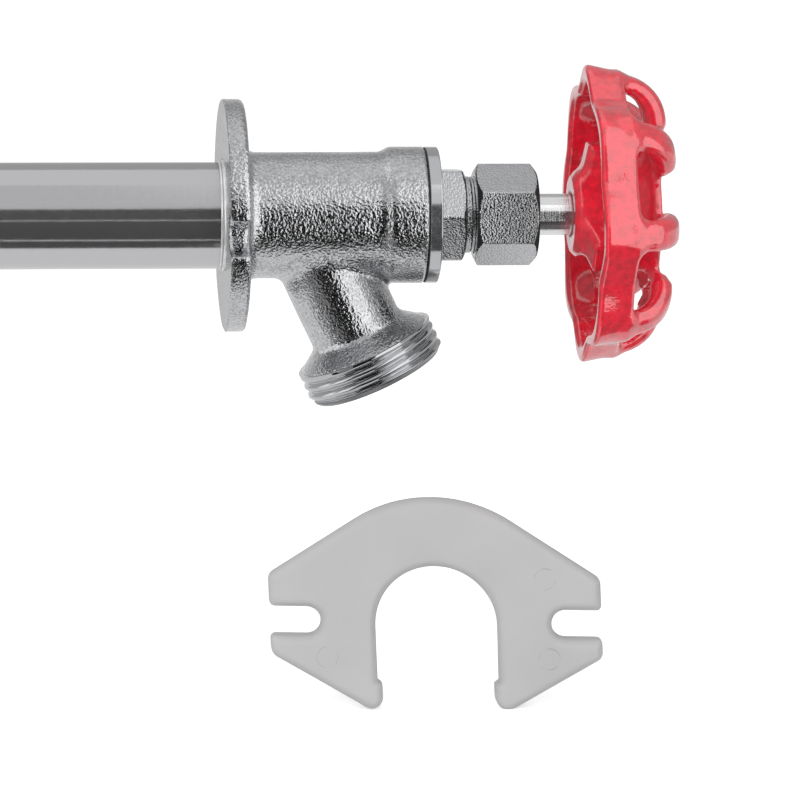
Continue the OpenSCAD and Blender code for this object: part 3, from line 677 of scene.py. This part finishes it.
def threaded(blank, sizes, finish, place=None):
    # Runs the thread cutter on a blank and gives back a plain mesh object
    modifier = blank.modifiers.new("thread", "NODES")
    modifier.node_group = threadTree
    for item in threadTree.interface.items_tree:
        if item.name in sizes:
            modifier[item.identifier] = sizes[item.name] * (1 if item.name == "Sharpness" else mm)
        elif item.name == "Finish":
            modifier[item.identifier] = finish
    bpy.context.view_layer.update()
    evaluated = blank.evaluated_get(bpy.context.evaluated_depsgraph_get())
    mesh = bpy.data.meshes.new_from_object(evaluated)
    if place is not None:
        mesh.transform(place)
    name = blank.name
    bpy.data.objects.remove(blank)
    mesh.name = name
    piece = bpy.data.objects.new(name, mesh)
    bpy.context.scene.collection.objects.link(piece)
    mesh.polygons.foreach_set("use_smooth", [True] * len(mesh.polygons))
    return piece


def lathePiece(name, sizes, finish, node, carrier="body", place=None, ripple=None):
    # Turns, flattens and threads a piece as its dictionary says
    clip = flatsClip(**sizes["flats"]) if "flats" in sizes else None
    piece = turned(name, sizes["profile"], sizes["segments"], sizes["step"], clip, ripple)
    if "thread" in sizes:
        piece = threaded(piece, sizes["thread"], finish, place)
    settle(piece, carrier, finish, node)
    return piece


# Hose thread, turned after casting: rounded bright crests and a bored mouth.
# A profile's corners are along, radius and rounding.
hose = {
    "profile": [(27.7, 9.15), (27.7, 13.6, 0.1), (33.25, 13.7, 0.12), (34.4, 12.55, 0.3),
                (34.4, 9.5, 0.1), (34.0, 9.02)],
    "thread": {"Start": 28.05, "End": 34.05, "Pitch": 1.88, "Depth": 1.2, "Least Radius": 12.2,
               "Run Out": 0.45, "Sharpness": 0.65},
    "segments": 224, "step": 0.13, "lipStart": 33.3,
}
outletTurn = Matrix(((outletAxis[0], 0, -outletAxis[2], 0), (0, 1, 0, 0),
                     (outletAxis[2], 0, outletAxis[0], 0), (0, 0, 0, 1)))
hosePiece = lathePiece("hose_thread", hose, threadFinish, "body",
                       place=Matrix.Translation(Vector(outletStart * mm)) @ outletTurn)


def onLip(centres):
    return (centres - outletStart) @ outletAxis > hose["lipStart"]


# The lip takes the darker finish, which is painted shade on the mouth's edge
lip = splitFaces(hosePiece, "hose_lip_turned", onLip)
settle(lip, "body", lipShadedFinish, "body")
print("hose thread cut")

# Chromed supply tube with a bead of solder at each end
tube = {
    "profile": [(-81.1, 9.1, 0.15), (-81.1, 10.1, 0.15), (9.0, 10.1, 0.15), (9.0, 9.1, 0.15)],
    "segments": 256, "step": 4,
}
lathePiece("supply_tube", tube, tubeFinish, "tube")

wallBead = {
    "profile": [(0.4, 10.13), (0.02, 10.5, 0.1), (-0.3, 10.46, 0.15), (-0.6, 10.22, 0.12),
                (-0.85, 10.32, 0.15), (-1.2, 10.12)],
    "segments": 192, "step": 0.15,
    "wander": [(3, 0.12, 1), (7, 0.09, 0), (13, 0.05, 2)],  # waves round, size, shift
    "root": 10.12, "rise": 0.4,
}
inletBead = {
    "profile": [(-81.1, 10.13), (-81.1, 10.5, 0.1), (-80.4, 10.4, 0.2), (-79.2, 10.13)],
    "segments": 192, "step": 0.15,
}


def beadRipple(along, radius, angle):
    # Solder runs unevenly round the joint
    off = sum(size * np.sin(count * angle + shift) for count, size, shift in wallBead["wander"])
    share = np.clip((radius - wallBead["root"]) / wallBead["rise"], 0, 1)
    return along - share * off * 0.5, radius + share * off * 0.4


lathePiece("solder_bead_wall", wallBead, solderFinish, "solder_ring_wall",
           ripple=beadRipple)
lathePiece("solder_bead_inlet", inletBead, solderFinish, "solder_ring_inlet")

# Bonnet: spigot and hexagon, threaded neck, then the box and bore inside it
bonnet = {
    "profile": [(26.3, 5.15, 0.1), (26.3, 9.15, 0.3), (27.1, 9.9, 0.3), (40.1, 9.9),
                (40.1, 9.807), (44.65, 9.807), (45.5, 8.057, 0.05),
                (45.5, 7.3), (53.3, 7.3, 0.1), (53.8, 6.8, 0.1),
                (53.8, 5.65), (45.1, 5.65), (45.1, 4.02), (39.3, 4.02), (39.3, 5.15)],
    "flats": {"sides": 6, "width": 16.9, "start": 40.09, "end": 45.5, "turn": 24},
    "thread": {"Start": 46.45, "End": 53.5, "Pitch": 0.62, "Depth": 0.4, "Least Radius": 6.4,
               "Run Out": 0.4, "Sharpness": 0.8},
    "segments": 224, "step": 0.16,
}
lathePiece("bonnet_turned", bonnet, forgedFinish, "bonnet")

# Ring of the bonnet and the gasket that it presses on the collar
bonnetRing = {
    "profile": [(38.1, 9.7), (38.1, 12.95, 0.12), (40.4, 12.95, 0.22), (40.4, 8.4)],
    "segments": 224, "step": 0.5,
}
lathePiece("bonnet_ring_turned", bonnetRing, machinedFinish, "bonnet")
gasket = {
    "profile": [(37.8, 10.05), (37.8, 12.82, 0.08), (38.1, 12.82, 0.08), (38.1, 10.05)],
    "segments": 160, "step": 0.4,
}
lathePiece("gasket_ring", gasket, rubberFinish, "bonnet_gasket")

# Packing nut: hexagon with a turned chamfer at both ends
nut = {
    "profile": [(47.5, 7.38, 0.05), (47.5, 8.257, 0.08), (48.35, 9.957), (58.1, 9.957),
                (59.3, 8.257, 0.08), (59.3, 4.6, 0.1), (58.8, 4.05), (55.7, 4.05), (55.7, 7.38)],
    "flats": {"sides": 6, "width": 16.9, "start": 47.5, "end": 59.3, "turn": -4.4},
    "segments": 288, "step": 0.2,
}
lathePiece("packing_nut_turned", nut, forgedFinish, "packing_nut")

# Stem with its operating thread inside the bonnet, a square at the wheel and
# a bore at each end for the rod and the screw
stem = {
    "profile": [(14.65, 3.25), (14.65, 4.5), (15.25, 5.1), (32.65, 5.1, 0.1), (32.65, 3.97),
                (71.8, 3.97, 0.05), (71.8, 3.94), (80.8, 3.94, 0.1),
                (80.8, 2.05), (72.85, 2.05), (72.85, 1.0), (22.7, 1.0), (22.7, 3.25)],
    "flats": {"sides": 4, "width": 5.6, "start": 71.811, "end": 81, "soft": 0.15},
    "thread": {"Start": 14.65, "End": 32.95, "Pitch": 2.1167, "Depth": 1.0, "Least Radius": 4.3,
               "Run Out": 0.5, "Sharpness": 0.6},
    "segments": 128, "step": 0.22,
}
lathePiece("stem_turned", stem, stemFinish, "stem", carrier="stem")
print("bonnet, nut and stem turned")

# Inlet fitting inside the house: pipe thread, hexagon, spigot with the seat
# at its end, and the socket for the house's pipe
inlet = {
    "profile": [(-101.6, 7.98, 0.1), (-101.6, 9.67, 0.1), (-100.6, 10.67), (-88.1, 10.67),
                (-88.1, 12.356, 0.1), (-87.25, 14.056), (-81.95, 14.056), (-81.1, 12.356, 0.1),
                (-81.1, 9.05), (-72.1, 9.05, 0.1), (-72.1, 6.2, 0.1), (-71.3, 6.2, 0.2),
                (-71.3, 4.75, 0.2), (-88.9, 4.75), (-88.9, 7.98)],
    "flats": {"sides": 6, "width": 24.0, "start": -88.1, "end": -81.1},
    "thread": {"Start": -101.2, "End": -88.7, "Pitch": 1.814, "Depth": 1.0, "Least Radius": 9.3,
               "Run Out": 0.6, "Sharpness": 0.7},
    "segments": 240, "step": 0.24,
}
lathePiece("inlet_turned", inlet, brassFinish, "inlet_fitting")

# Handwheel: scalloped rim, eight arches, top disc and a hub with three ribs
# in one casting, its edges rounded by the enamel
wheel = {
    "cell": 0.38, "low": (65.2, -29.7, -29.7), "high": (85, 29.7, 29.7), "lobes": 8, "turn": 0.5,
    "rimStart": 68.3, "rimEnd": 75.2, "lobeRadius": 28.8, "lobePower": 0.8, "valleyRadius": 25.6,
    "draft": 1.5, "valleyDraft": 0.35,
    "rimWall": 2.2, "innerWave": 2.0, "rimEdge": 0.98, "rimFillet": 2.2,
    "crown": 83.95, "crownRadius": 17.5, "archFoot": 26.9, "archInner": 23.4, "archThick": 4.35,
    "archWidth": 6.4, "archRoot": 4.8, "archEdge": 2.6, "archFillet": 1.3,
    "archNose": [(15.4, 83.2), (13.9, 81.6), (13.9, 80.0), (15.7, 80.4)],  # radius, along
    "discRadius": 14.05, "discStart": 80.0, "discEnd": 81.65, "discEdge": 0.4, "discFillet": 0.9,
    "hubStart": 66.1, "hubRadius": 8.1, "hubBevel": 0.9, "webStart": 76.5, "webRadius": 12.7,
    "ribs": 3, "ribWidth": 7.0, "ribStart": 67.9, "ribRise": 1.2, "ribRoot": 6, "ribRadius": 13.7,
    "ribEdge": 1.7, "ribFillet": 2.2,
    "bore": 4.1, "square": 5.7, "squareStart": 71.8, "boreEdge": 0.9, "warp": 0.7, "waviness": 0.05,
}


def archOutline():
    foot, top = wheel["archFoot"], wheel["rimEnd"] - 0.5
    inside, middle = wheel["archInner"], wheel["crownRadius"]
    rise = wheel["crown"] - top
    steps = np.linspace(0, math.pi / 2, 12)
    outer = [(middle + (foot - middle) * math.cos(a), top + rise * math.sin(a)) for a in steps]
    inner = [(middle + (inside - middle) * math.cos(a),
              top + (rise - wheel["archThick"]) * math.sin(a)) for a in steps[::-1]]
    return outer + wheel["archNose"] + inner + [(inside, top - 1.5), (foot - 1.6, top - 3)]


archShape = archOutline()
hubTop, ribTop = wheel["discStart"] + 0.3, wheel["discStart"] + 0.6
hubShape = [(0, wheel["hubStart"]), (wheel["hubRadius"] - wheel["hubBevel"], wheel["hubStart"]),
            (wheel["hubRadius"], wheel["hubStart"] + wheel["hubBevel"]),
            (wheel["hubRadius"], wheel["webStart"]), (wheel["webRadius"], hubTop), (0, hubTop)]
ribShape = [(wheel["ribRoot"], wheel["ribStart"]), (wheel["hubRadius"] + 0.4, wheel["ribStart"]),
            (wheel["ribRadius"], wheel["ribStart"] + wheel["ribRise"]),
            (wheel["ribRadius"], ribTop), (wheel["ribRoot"], ribTop)]


def wheelField(p):
    # The near side of the rim cooled a little further out
    x = p[:, 0] - wheel["warp"] * np.clip(-p[:, 1] / 27, 0, 1) ** 3
    radial = np.hypot(p[:, 1], p[:, 2])
    around = np.arctan2(p[:, 2], p[:, 1])
    angle = around - math.radians(wheel["turn"])
    lobe = ((1 + np.cos(wheel["lobes"] * angle)) / 2) ** wheel["lobePower"]
    deep = wheel["rimEnd"] - wheel["rimStart"]
    draft = wheel["draft"] * np.clip((x - wheel["rimStart"]) / deep, 0, 1)
    outer = wheel["valleyRadius"] + (wheel["lobeRadius"] - wheel["valleyRadius"]) * lobe
    inner = wheel["valleyRadius"] - wheel["rimWall"] + wheel["innerWave"] * lobe
    outer = outer - draft * (wheel["valleyDraft"] + (1 - wheel["valleyDraft"]) * lobe)
    edge = wheel["rimEdge"]
    wall = np.abs(radial - (outer + inner) / 2) - np.maximum((outer - inner) / 2 - edge, 0.05)
    side = np.abs(x - (wheel["rimStart"] + wheel["rimEnd"]) / 2) - deep / 2 + edge
    rim = 0.93 * (withinBoth(wall, side) - edge)  # the scallops stretch it by so much
    fold = foldAround(angle, wheel["lobes"])
    reach, side = radial * np.cos(fold), np.abs(radial * np.sin(fold))
    share = (reach - wheel["discRadius"]) / (wheel["crownRadius"] - wheel["discRadius"])
    width = wheel["archRoot"] + (wheel["archWidth"] - wheel["archRoot"]) * np.clip(share, 0, 1)
    arch = softMeet(outlineDistance(reach, x, archShape), side - width / 2, wheel["archEdge"])
    edge = wheel["discEdge"]
    disc = drum(x, radial, wheel["discStart"] + edge, wheel["discEnd"] - edge,
                wheel["discRadius"] - edge) - edge
    hub = outlineDistance(radial, x, hubShape)
    fold = foldAround(around - math.pi / 2, wheel["ribs"])
    reach, side = radial * np.cos(fold), np.abs(radial * np.sin(fold))
    rib = outlineDistance(reach, x, ribShape)
    rib = softMeet(rib, side - wheel["ribWidth"] / 2, wheel["ribEdge"])
    shape = softUnion(hub, rib, wheel["ribFillet"])
    shape = softUnion(shape, disc, wheel["discFillet"])
    shape = softUnion(shape, arch, wheel["archFillet"])
    shape = softUnion(shape, rim, wheel["rimFillet"]) + unevenness(p, wheel["waviness"])
    bore = drum(x, radial, 60, wheel["squareStart"], wheel["bore"])
    square = np.maximum(np.abs(p[:, 1]), np.abs(p[:, 2])) - wheel["square"] / 2
    square = np.maximum(square, wheel["squareStart"] - 0.2 - x)
    return softCut(shape, np.minimum(bore, square), wheel["boreEdge"])


wheelPiece = meshFromField(
    "handwheel_casting", wheelField, wheel["low"], wheel["high"], wheel["cell"])
settle(wheelPiece, "stem", enamelFinish, "handwheel")

# Screw that holds the wheel, with a cross recess, and its washer
screw = {
    "cell": 0.16, "low": (72.4, -4.2, -4.2), "high": (84.0, 4.2, 4.2),
    "headStart": 82.2, "headEnd": 83.3, "headRadius": 3.6, "domeCentre": 77.0, "domeRadius": 6.4,
    "headEdge": 0.1, "shankStart": 72.9, "shankRadius": 1.9, "shankFillet": 0.2,
    "crossFloor": 82.1, "crossReach": 1.9, "crossWidth": 0.42, "crossTaper": 0.25,
    "crossEdge": 0.12,
}
washer = {
    "profile": [(81.62, 2.05, 0.05), (81.62, 5.0, 0.1), (82.1, 5.0, 0.15), (82.1, 2.05, 0.05)],
    "segments": 128, "step": 0.6,
}


def screwField(p):
    x, radial = p[:, 0], np.hypot(p[:, 1], p[:, 2])
    head = drum(x, radial, screw["headStart"], screw["headEnd"], screw["headRadius"])
    dome = np.hypot(x - screw["domeCentre"], radial) - screw["domeRadius"]
    shank = drum(x, radial, screw["shankStart"], screw["headStart"] + 0.2, screw["shankRadius"])
    shape = softUnion(np.maximum(head - screw["headEdge"], dome), shank, screw["shankFillet"])
    y, z = np.abs(p[:, 1]), np.abs(p[:, 2])
    arm = screw["crossWidth"] + screw["crossTaper"] * np.clip(x - screw["crossFloor"] + 0.1, 0, 1.6)
    cross = np.minimum(np.maximum(y - arm, z - screw["crossReach"]),
                       np.maximum(z - arm, y - screw["crossReach"]))
    return softCut(shape, np.maximum(cross, screw["crossFloor"] - x), screw["crossEdge"])


screwPiece = meshFromField("screw_cross", screwField, screw["low"], screw["high"], screw["cell"])
settle(screwPiece, "stem", steelFinish, "handwheel_screw")
lathePiece("washer_turned", washer, steelFinish, "handwheel_washer", carrier="stem")

# Plastic wedge, thin at the crown and thick at the legs
wedge = {
    "cell": 0.4, "low": (7.2, -4.2, -98.2), "high": (74.2, 4.2, -53.8),
    "x": 41.6, "z": -80.4, "turn": 1.5, "skew": 0.076,  # where and how it stands
    "half": 32.25, "crown": 25.5, "crownRadius": 27.7, "shoulder": 33, "leg": 29.9,
    "earDrop": 5.7, "corner": 2.0, "toeCorner": 2.3, "arch": 11.9, "nub": 0.9, "nubDrop": 11.4,
    "slotWidth": 5.6, "slotReach": 25.2, "slotRise": 0.9, "slotEdge": 1.1,
    "thin": 3.0, "thick": 6.5, "bevel": 1.15, "bevelEdge": 0.5, "edge": 0.2,
}


def roundCorner(a, b, c, radius, steps=8):
    # Points of an arc in place of the corner b between a and c
    a, b, c = (np.array(p, float) for p in (a, b, c))
    u, v = (a - b) / np.linalg.norm(a - b), (c - b) / np.linalg.norm(c - b)
    half = math.acos(float(u @ v)) / 2
    p, q = b + u * radius / math.tan(half), b + v * radius / math.tan(half)
    middle = b + (u + v) / np.linalg.norm(u + v) * radius / math.sin(half)
    a0 = math.atan2(*(p - middle)[::-1])
    sweep = (math.atan2(*(q - middle)[::-1]) - a0 + math.pi) % (2 * math.pi) - math.pi
    return [tuple(middle + radius * np.array([math.cos(a0 + sweep * k / steps),
                                              math.sin(a0 + sweep * k / steps)]))
            for k in range(steps + 1)]


def wedgeOutline():
    # One side from the crown down to the arch, then the same mirrored
    shoulder, leg = math.radians(wedge["shoulder"]), math.radians(wedge["leg"])
    half, arch, low = wedge["half"], wedge["arch"], -wedge["nubDrop"]
    apexV = wedge["crown"] + wedge["crownRadius"] * (1 / math.cos(shoulder) - 1)
    nubU = arch - wedge["nub"]
    toeV = -wedge["earDrop"] - (half - nubU) * math.tan(leg)
    apex, earTop = (0, apexV), (half, apexV - half * math.tan(shoulder))
    earLow, toe, nub = (half, -wedge["earDrop"]), (nubU, toeV), (nubU, low)
    side = roundCorner(apex, earTop, earLow, wedge["corner"])
    side += roundCorner(earTop, earLow, toe, wedge["corner"])
    side += roundCorner(earLow, toe, nub, wedge["toeCorner"])
    side += [nub, (arch, low + 0.7 * wedge["nub"])]
    side += [(arch * math.cos(a), arch * math.sin(a)) for a in np.linspace(0, math.pi / 2, 22)]
    crown = roundCorner((-half, earTop[1]), apex, earTop, wedge["crownRadius"], 20)
    return crown + side + [(-x, y) for x, y in side[-2::-1]], toeV


wedgeShape, wedgeToe = wedgeOutline()


def wedgeField(p):
    turn = math.radians(wedge["turn"])
    u, v = p[:, 0] - wedge["x"], p[:, 2] - wedge["z"]
    u, v = u * math.cos(turn) - v * math.sin(turn), u * math.sin(turn) + v * math.cos(turn)
    u = u + wedge["skew"] * v  # the mould's two halves sat slightly out of line
    side, rise = np.abs(u), v - wedge["slotRise"]
    slot = np.hypot(np.maximum(wedge["slotReach"] - side, 0), rise) - wedge["slotWidth"] / 2
    outline = softCut(outlineDistance(u, v, wedgeShape), slot, wedge["slotEdge"])
    share = (wedge["crown"] - v) / (wedge["crown"] - wedgeToe)
    thick = wedge["thin"] + (wedge["thick"] - wedge["thin"]) * share
    face = np.abs(p[:, 1]) - thick / 2
    bevel = (outline + face + wedge["bevel"]) / math.sqrt(2)
    return softMeet(softMeet(outline, face, wedge["edge"]), bevel, wedge["bevelEdge"])


wedgePiece = meshFromField("wedge_moulded", wedgeField, wedge["low"], wedge["high"], wedge["cell"])
settle(wedgePiece, "body", plasticFinish, "wall_wedge")

# Pieces hidden inside keep the CAD shape and take a finish of their own
inside = {
    "packing_gland": brassFinish, "stem_packing": packingFinish, "packing_washer": brassFinish,
    "stem_rod": brassFinish, "washer_holder": brassFinish, "seat_washer": rubberFinish,
    "washer_screw": brassFinish,
}
for name, finish in inside.items():
    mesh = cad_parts[name].data
    mesh.materials.clear()
    mesh.materials.append(finish)
print("pieces made")


# Studio: the metal sees a dark card at the front, bright ones at the sides and
# above and thin strips between, and the camera sees plain white.
studio = {
    "centre": (20, 0, -10),
    "cards": [  # name, azimuth from the front, elevation, level, distance
        ("card_around", (-180, 180), (-70, 90), 0.76, 1400),
        ("card_front", (-95, 13), (-61, 27), 0.015, 1300),
        ("card_left", (-118, -52), (-18, 68), 1.2, 1290),
        ("card_grey", (-95, -24), (-61, -20), 0.3, 1290),
        ("card_back_left", (-150, -118), (-26, 30), 0.5, 1290),
        ("card_right", (13, 75), (-28, 60), 1.35, 1290),
        ("card_right_low", (13, 60), (-80, -28), 0.05, 1290),
        ("card_side", (75, 165), (-40, 60), 0.4, 1290),
        ("card_back", (160, 210), (12, 54), 0.42, 1300),
        ("card_tube_high", (-95, 4.0), (23.3, 78), 0.6, 1285),
        ("strip_high", (-95, 4.6), (-1.6, -0.3), 0.75, 1280),
        ("strip_low", (-95, 4.6), (-45.6, -44.3), 1.3, 1280),
    ],
    "world": 0.64,
    "floor": "#F4F4F4",
    "floorGlow": 0.46,
    "floorFront": -75,
    "floorReach": 2500,
    "floorDrop": 0.02,  # below the wedge
    "table": 0.8,  # level of the paper that only the metal sees
    "tableReach": 1500,
    "sheetGap": 0.3,
    # Darker patches of the table that only the metal sees, painted shade in the reflections under
    # the wheel, on the nut's low face and along the tube: x, y and level
    "shades": [(60, 160, -75, -12, 0.08), (43, 64, 20, 120, 0.4), (-250, 7, -75, -51, 0.015)],
    # Rings round the stem that only the metal sees: painted reflections, grey and
    # dark, in place of the wheel's red, and at 47.35 painted shade in the nut's near
    # chamfer. Place, inner and outer radius and level
    "flags": [(62.65, 5.2, 15, 0.04), (62.7, 5.2, 36, 0.5), (63.0, 5.2, 31, 0.14),
              (47.35, 7.4, 12, 0.03)],
    "flagSides": 48,
    "flagEdgeOn": 0.7,
    "lamps": [  # name, place, size and watts
        ("lamp_front", (20, -830, 240), 700, 3.4),
        ("lamp_left", (-500, -500, 500), 350, 2.2),
    ],
    "lampAim": (20, 0, -20),
}


def hideCard(card, level, edgeOn=0):
    # A card shows in reflections only, and with edgeOn not in grazing ones
    material = bpy.data.materials.new(card.name)
    tree = emptyTree(material)
    glow = addNode(tree, "ShaderNodeEmission", {"Strength": level}).outputs[0]
    if edgeOn:
        facing = addNode(tree, "ShaderNodeLayerWeight", {"Blend": 0.5}).outputs["Facing"]
        grazing = addNode(tree, "ShaderNodeMath", {0: facing, 1: edgeOn},
                          operation="GREATER_THAN").outputs[0]
        clear = addNode(tree, "ShaderNodeBsdfTransparent").outputs[0]
        glow = addNode(tree, "ShaderNodeMixShader", {0: grazing, 1: glow, 2: clear}).outputs[0]
    addNode(tree, "ShaderNodeOutputMaterial", {"Surface": glow})
    card.data.materials.append(material)
    card.visible_camera = card.visible_diffuse = False
    card.visible_shadow = card.visible_transmission = False


def studioCard(name, azimuth, elevation, level, distance, columns=24, rows=12):
    # Part of a sphere round the object
    a, e = np.meshgrid(np.radians(np.linspace(*azimuth, columns + 1)),
                       np.radians(np.linspace(*elevation, rows + 1)), indexing="ij")
    points = np.stack([np.sin(a) * np.cos(e), -np.cos(a) * np.cos(e), np.sin(e)], -1) * distance
    number = np.arange(a.size).reshape(a.shape)
    faces = np.stack([number[:-1, :-1], number[1:, :-1], number[1:, 1:], number[:-1, 1:]], -1)
    card = linkMesh(name, points.reshape(-1, 3) + np.array(studio["centre"]),
                    faces.reshape(-1, 4).tolist())
    hideCard(card, level)


def flatSheet(name, x0, x1, y0, y1, z):
    return linkMesh(name, [(x0, y0, z), (x1, y0, z), (x1, y1, z), (x0, y1, z)], [(0, 1, 2, 3)],
                    smooth=False)


def seenRays(tree):
    # 1 for the camera's rays and for those off metal and through glass, 0 for light's
    rays = addNode(tree, "ShaderNodeLightPath").outputs
    seen = rays["Is Camera Ray"]
    for kind in ("Is Glossy Ray", "Is Transmission Ray"):
        seen = addNode(tree, "ShaderNodeMath", {0: seen, 1: rays[kind]},
                       operation="MAXIMUM").outputs[0]
    return seen


for card in studio["cards"]:
    studioCard(*card)
sides = studio["flagSides"]
for place, inner, outer, level in studio["flags"]:
    around = np.arange(sides) * 2 * math.pi / sides
    points = [(place, r * math.cos(a), r * math.sin(a)) for r in (inner, outer) for a in around]
    faces = [(k, (k + 1) % sides, (k + 1) % sides + sides, k + sides) for k in range(sides)]
    hideCard(linkMesh("flag_screen", points, faces), level, studio["flagEdgeOn"])

floorZ = float(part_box("wall_wedge")[0].z) / mm - studio["floorDrop"]
front, reach = studio["floorFront"], studio["floorReach"]
floor = flatSheet("floor", -reach, reach, front, reach, floorZ)
material = bpy.data.materials.new("white_paper_floor")
tree = emptyTree(material)
extra = addNode(tree, "ShaderNodeMath", {0: seenRays(tree), 1: studio["floorGlow"]},
                operation="MULTIPLY")
paper = addNode(tree, "ShaderNodeBsdfDiffuse", {"Color": hexColour(studio["floor"])})
glow = addNode(tree, "ShaderNodeEmission", {"Strength": extra.outputs[0]})
both = addNode(tree, "ShaderNodeAddShader", {0: paper.outputs[0], 1: glow.outputs[0]})
addNode(tree, "ShaderNodeOutputMaterial", {"Surface": both.outputs[0]})
floor.data.materials.append(material)
reach, gap = studio["tableReach"], studio["sheetGap"]
hideCard(flatSheet("card_table", -reach, reach, front, reach, floorZ + gap), studio["table"])
for x0, x1, y0, y1, level in studio["shades"]:
    hideCard(flatSheet("card_shade", x0, x1, y0, y1, floorZ + 2 * gap), level)

world = bpy.data.worlds.new("studio")
bpy.context.scene.world = world
tree = emptyTree(world)
level = addNode(tree, "ShaderNodeMapRange", {"Value": seenRays(tree), "To Min": studio["world"]})
sky = addNode(tree, "ShaderNodeBackground", {
    "Color": hexColour("#FFFFFF"), "Strength": level.outputs["Result"]})
addNode(tree, "ShaderNodeOutputWorld", {"Surface": sky.outputs[0]})

# Soft lamps: a broad one in front and a smaller one from the upper left
for name, place, size, power in studio["lamps"]:
    data = bpy.data.lights.new(name, "AREA")
    data.shape, data.size, data.energy = "DISK", size * mm, power
    lamp = bpy.data.objects.new(name, data)
    lamp.location = Vector(place) * mm
    aim = Vector(studio["lampAim"]) - Vector(place)
    lamp.rotation_euler = aim.to_track_quat("-Z", "Y").to_euler()
    lamp.visible_glossy = False
    bpy.context.scene.collection.objects.link(lamp)
print("studio set")
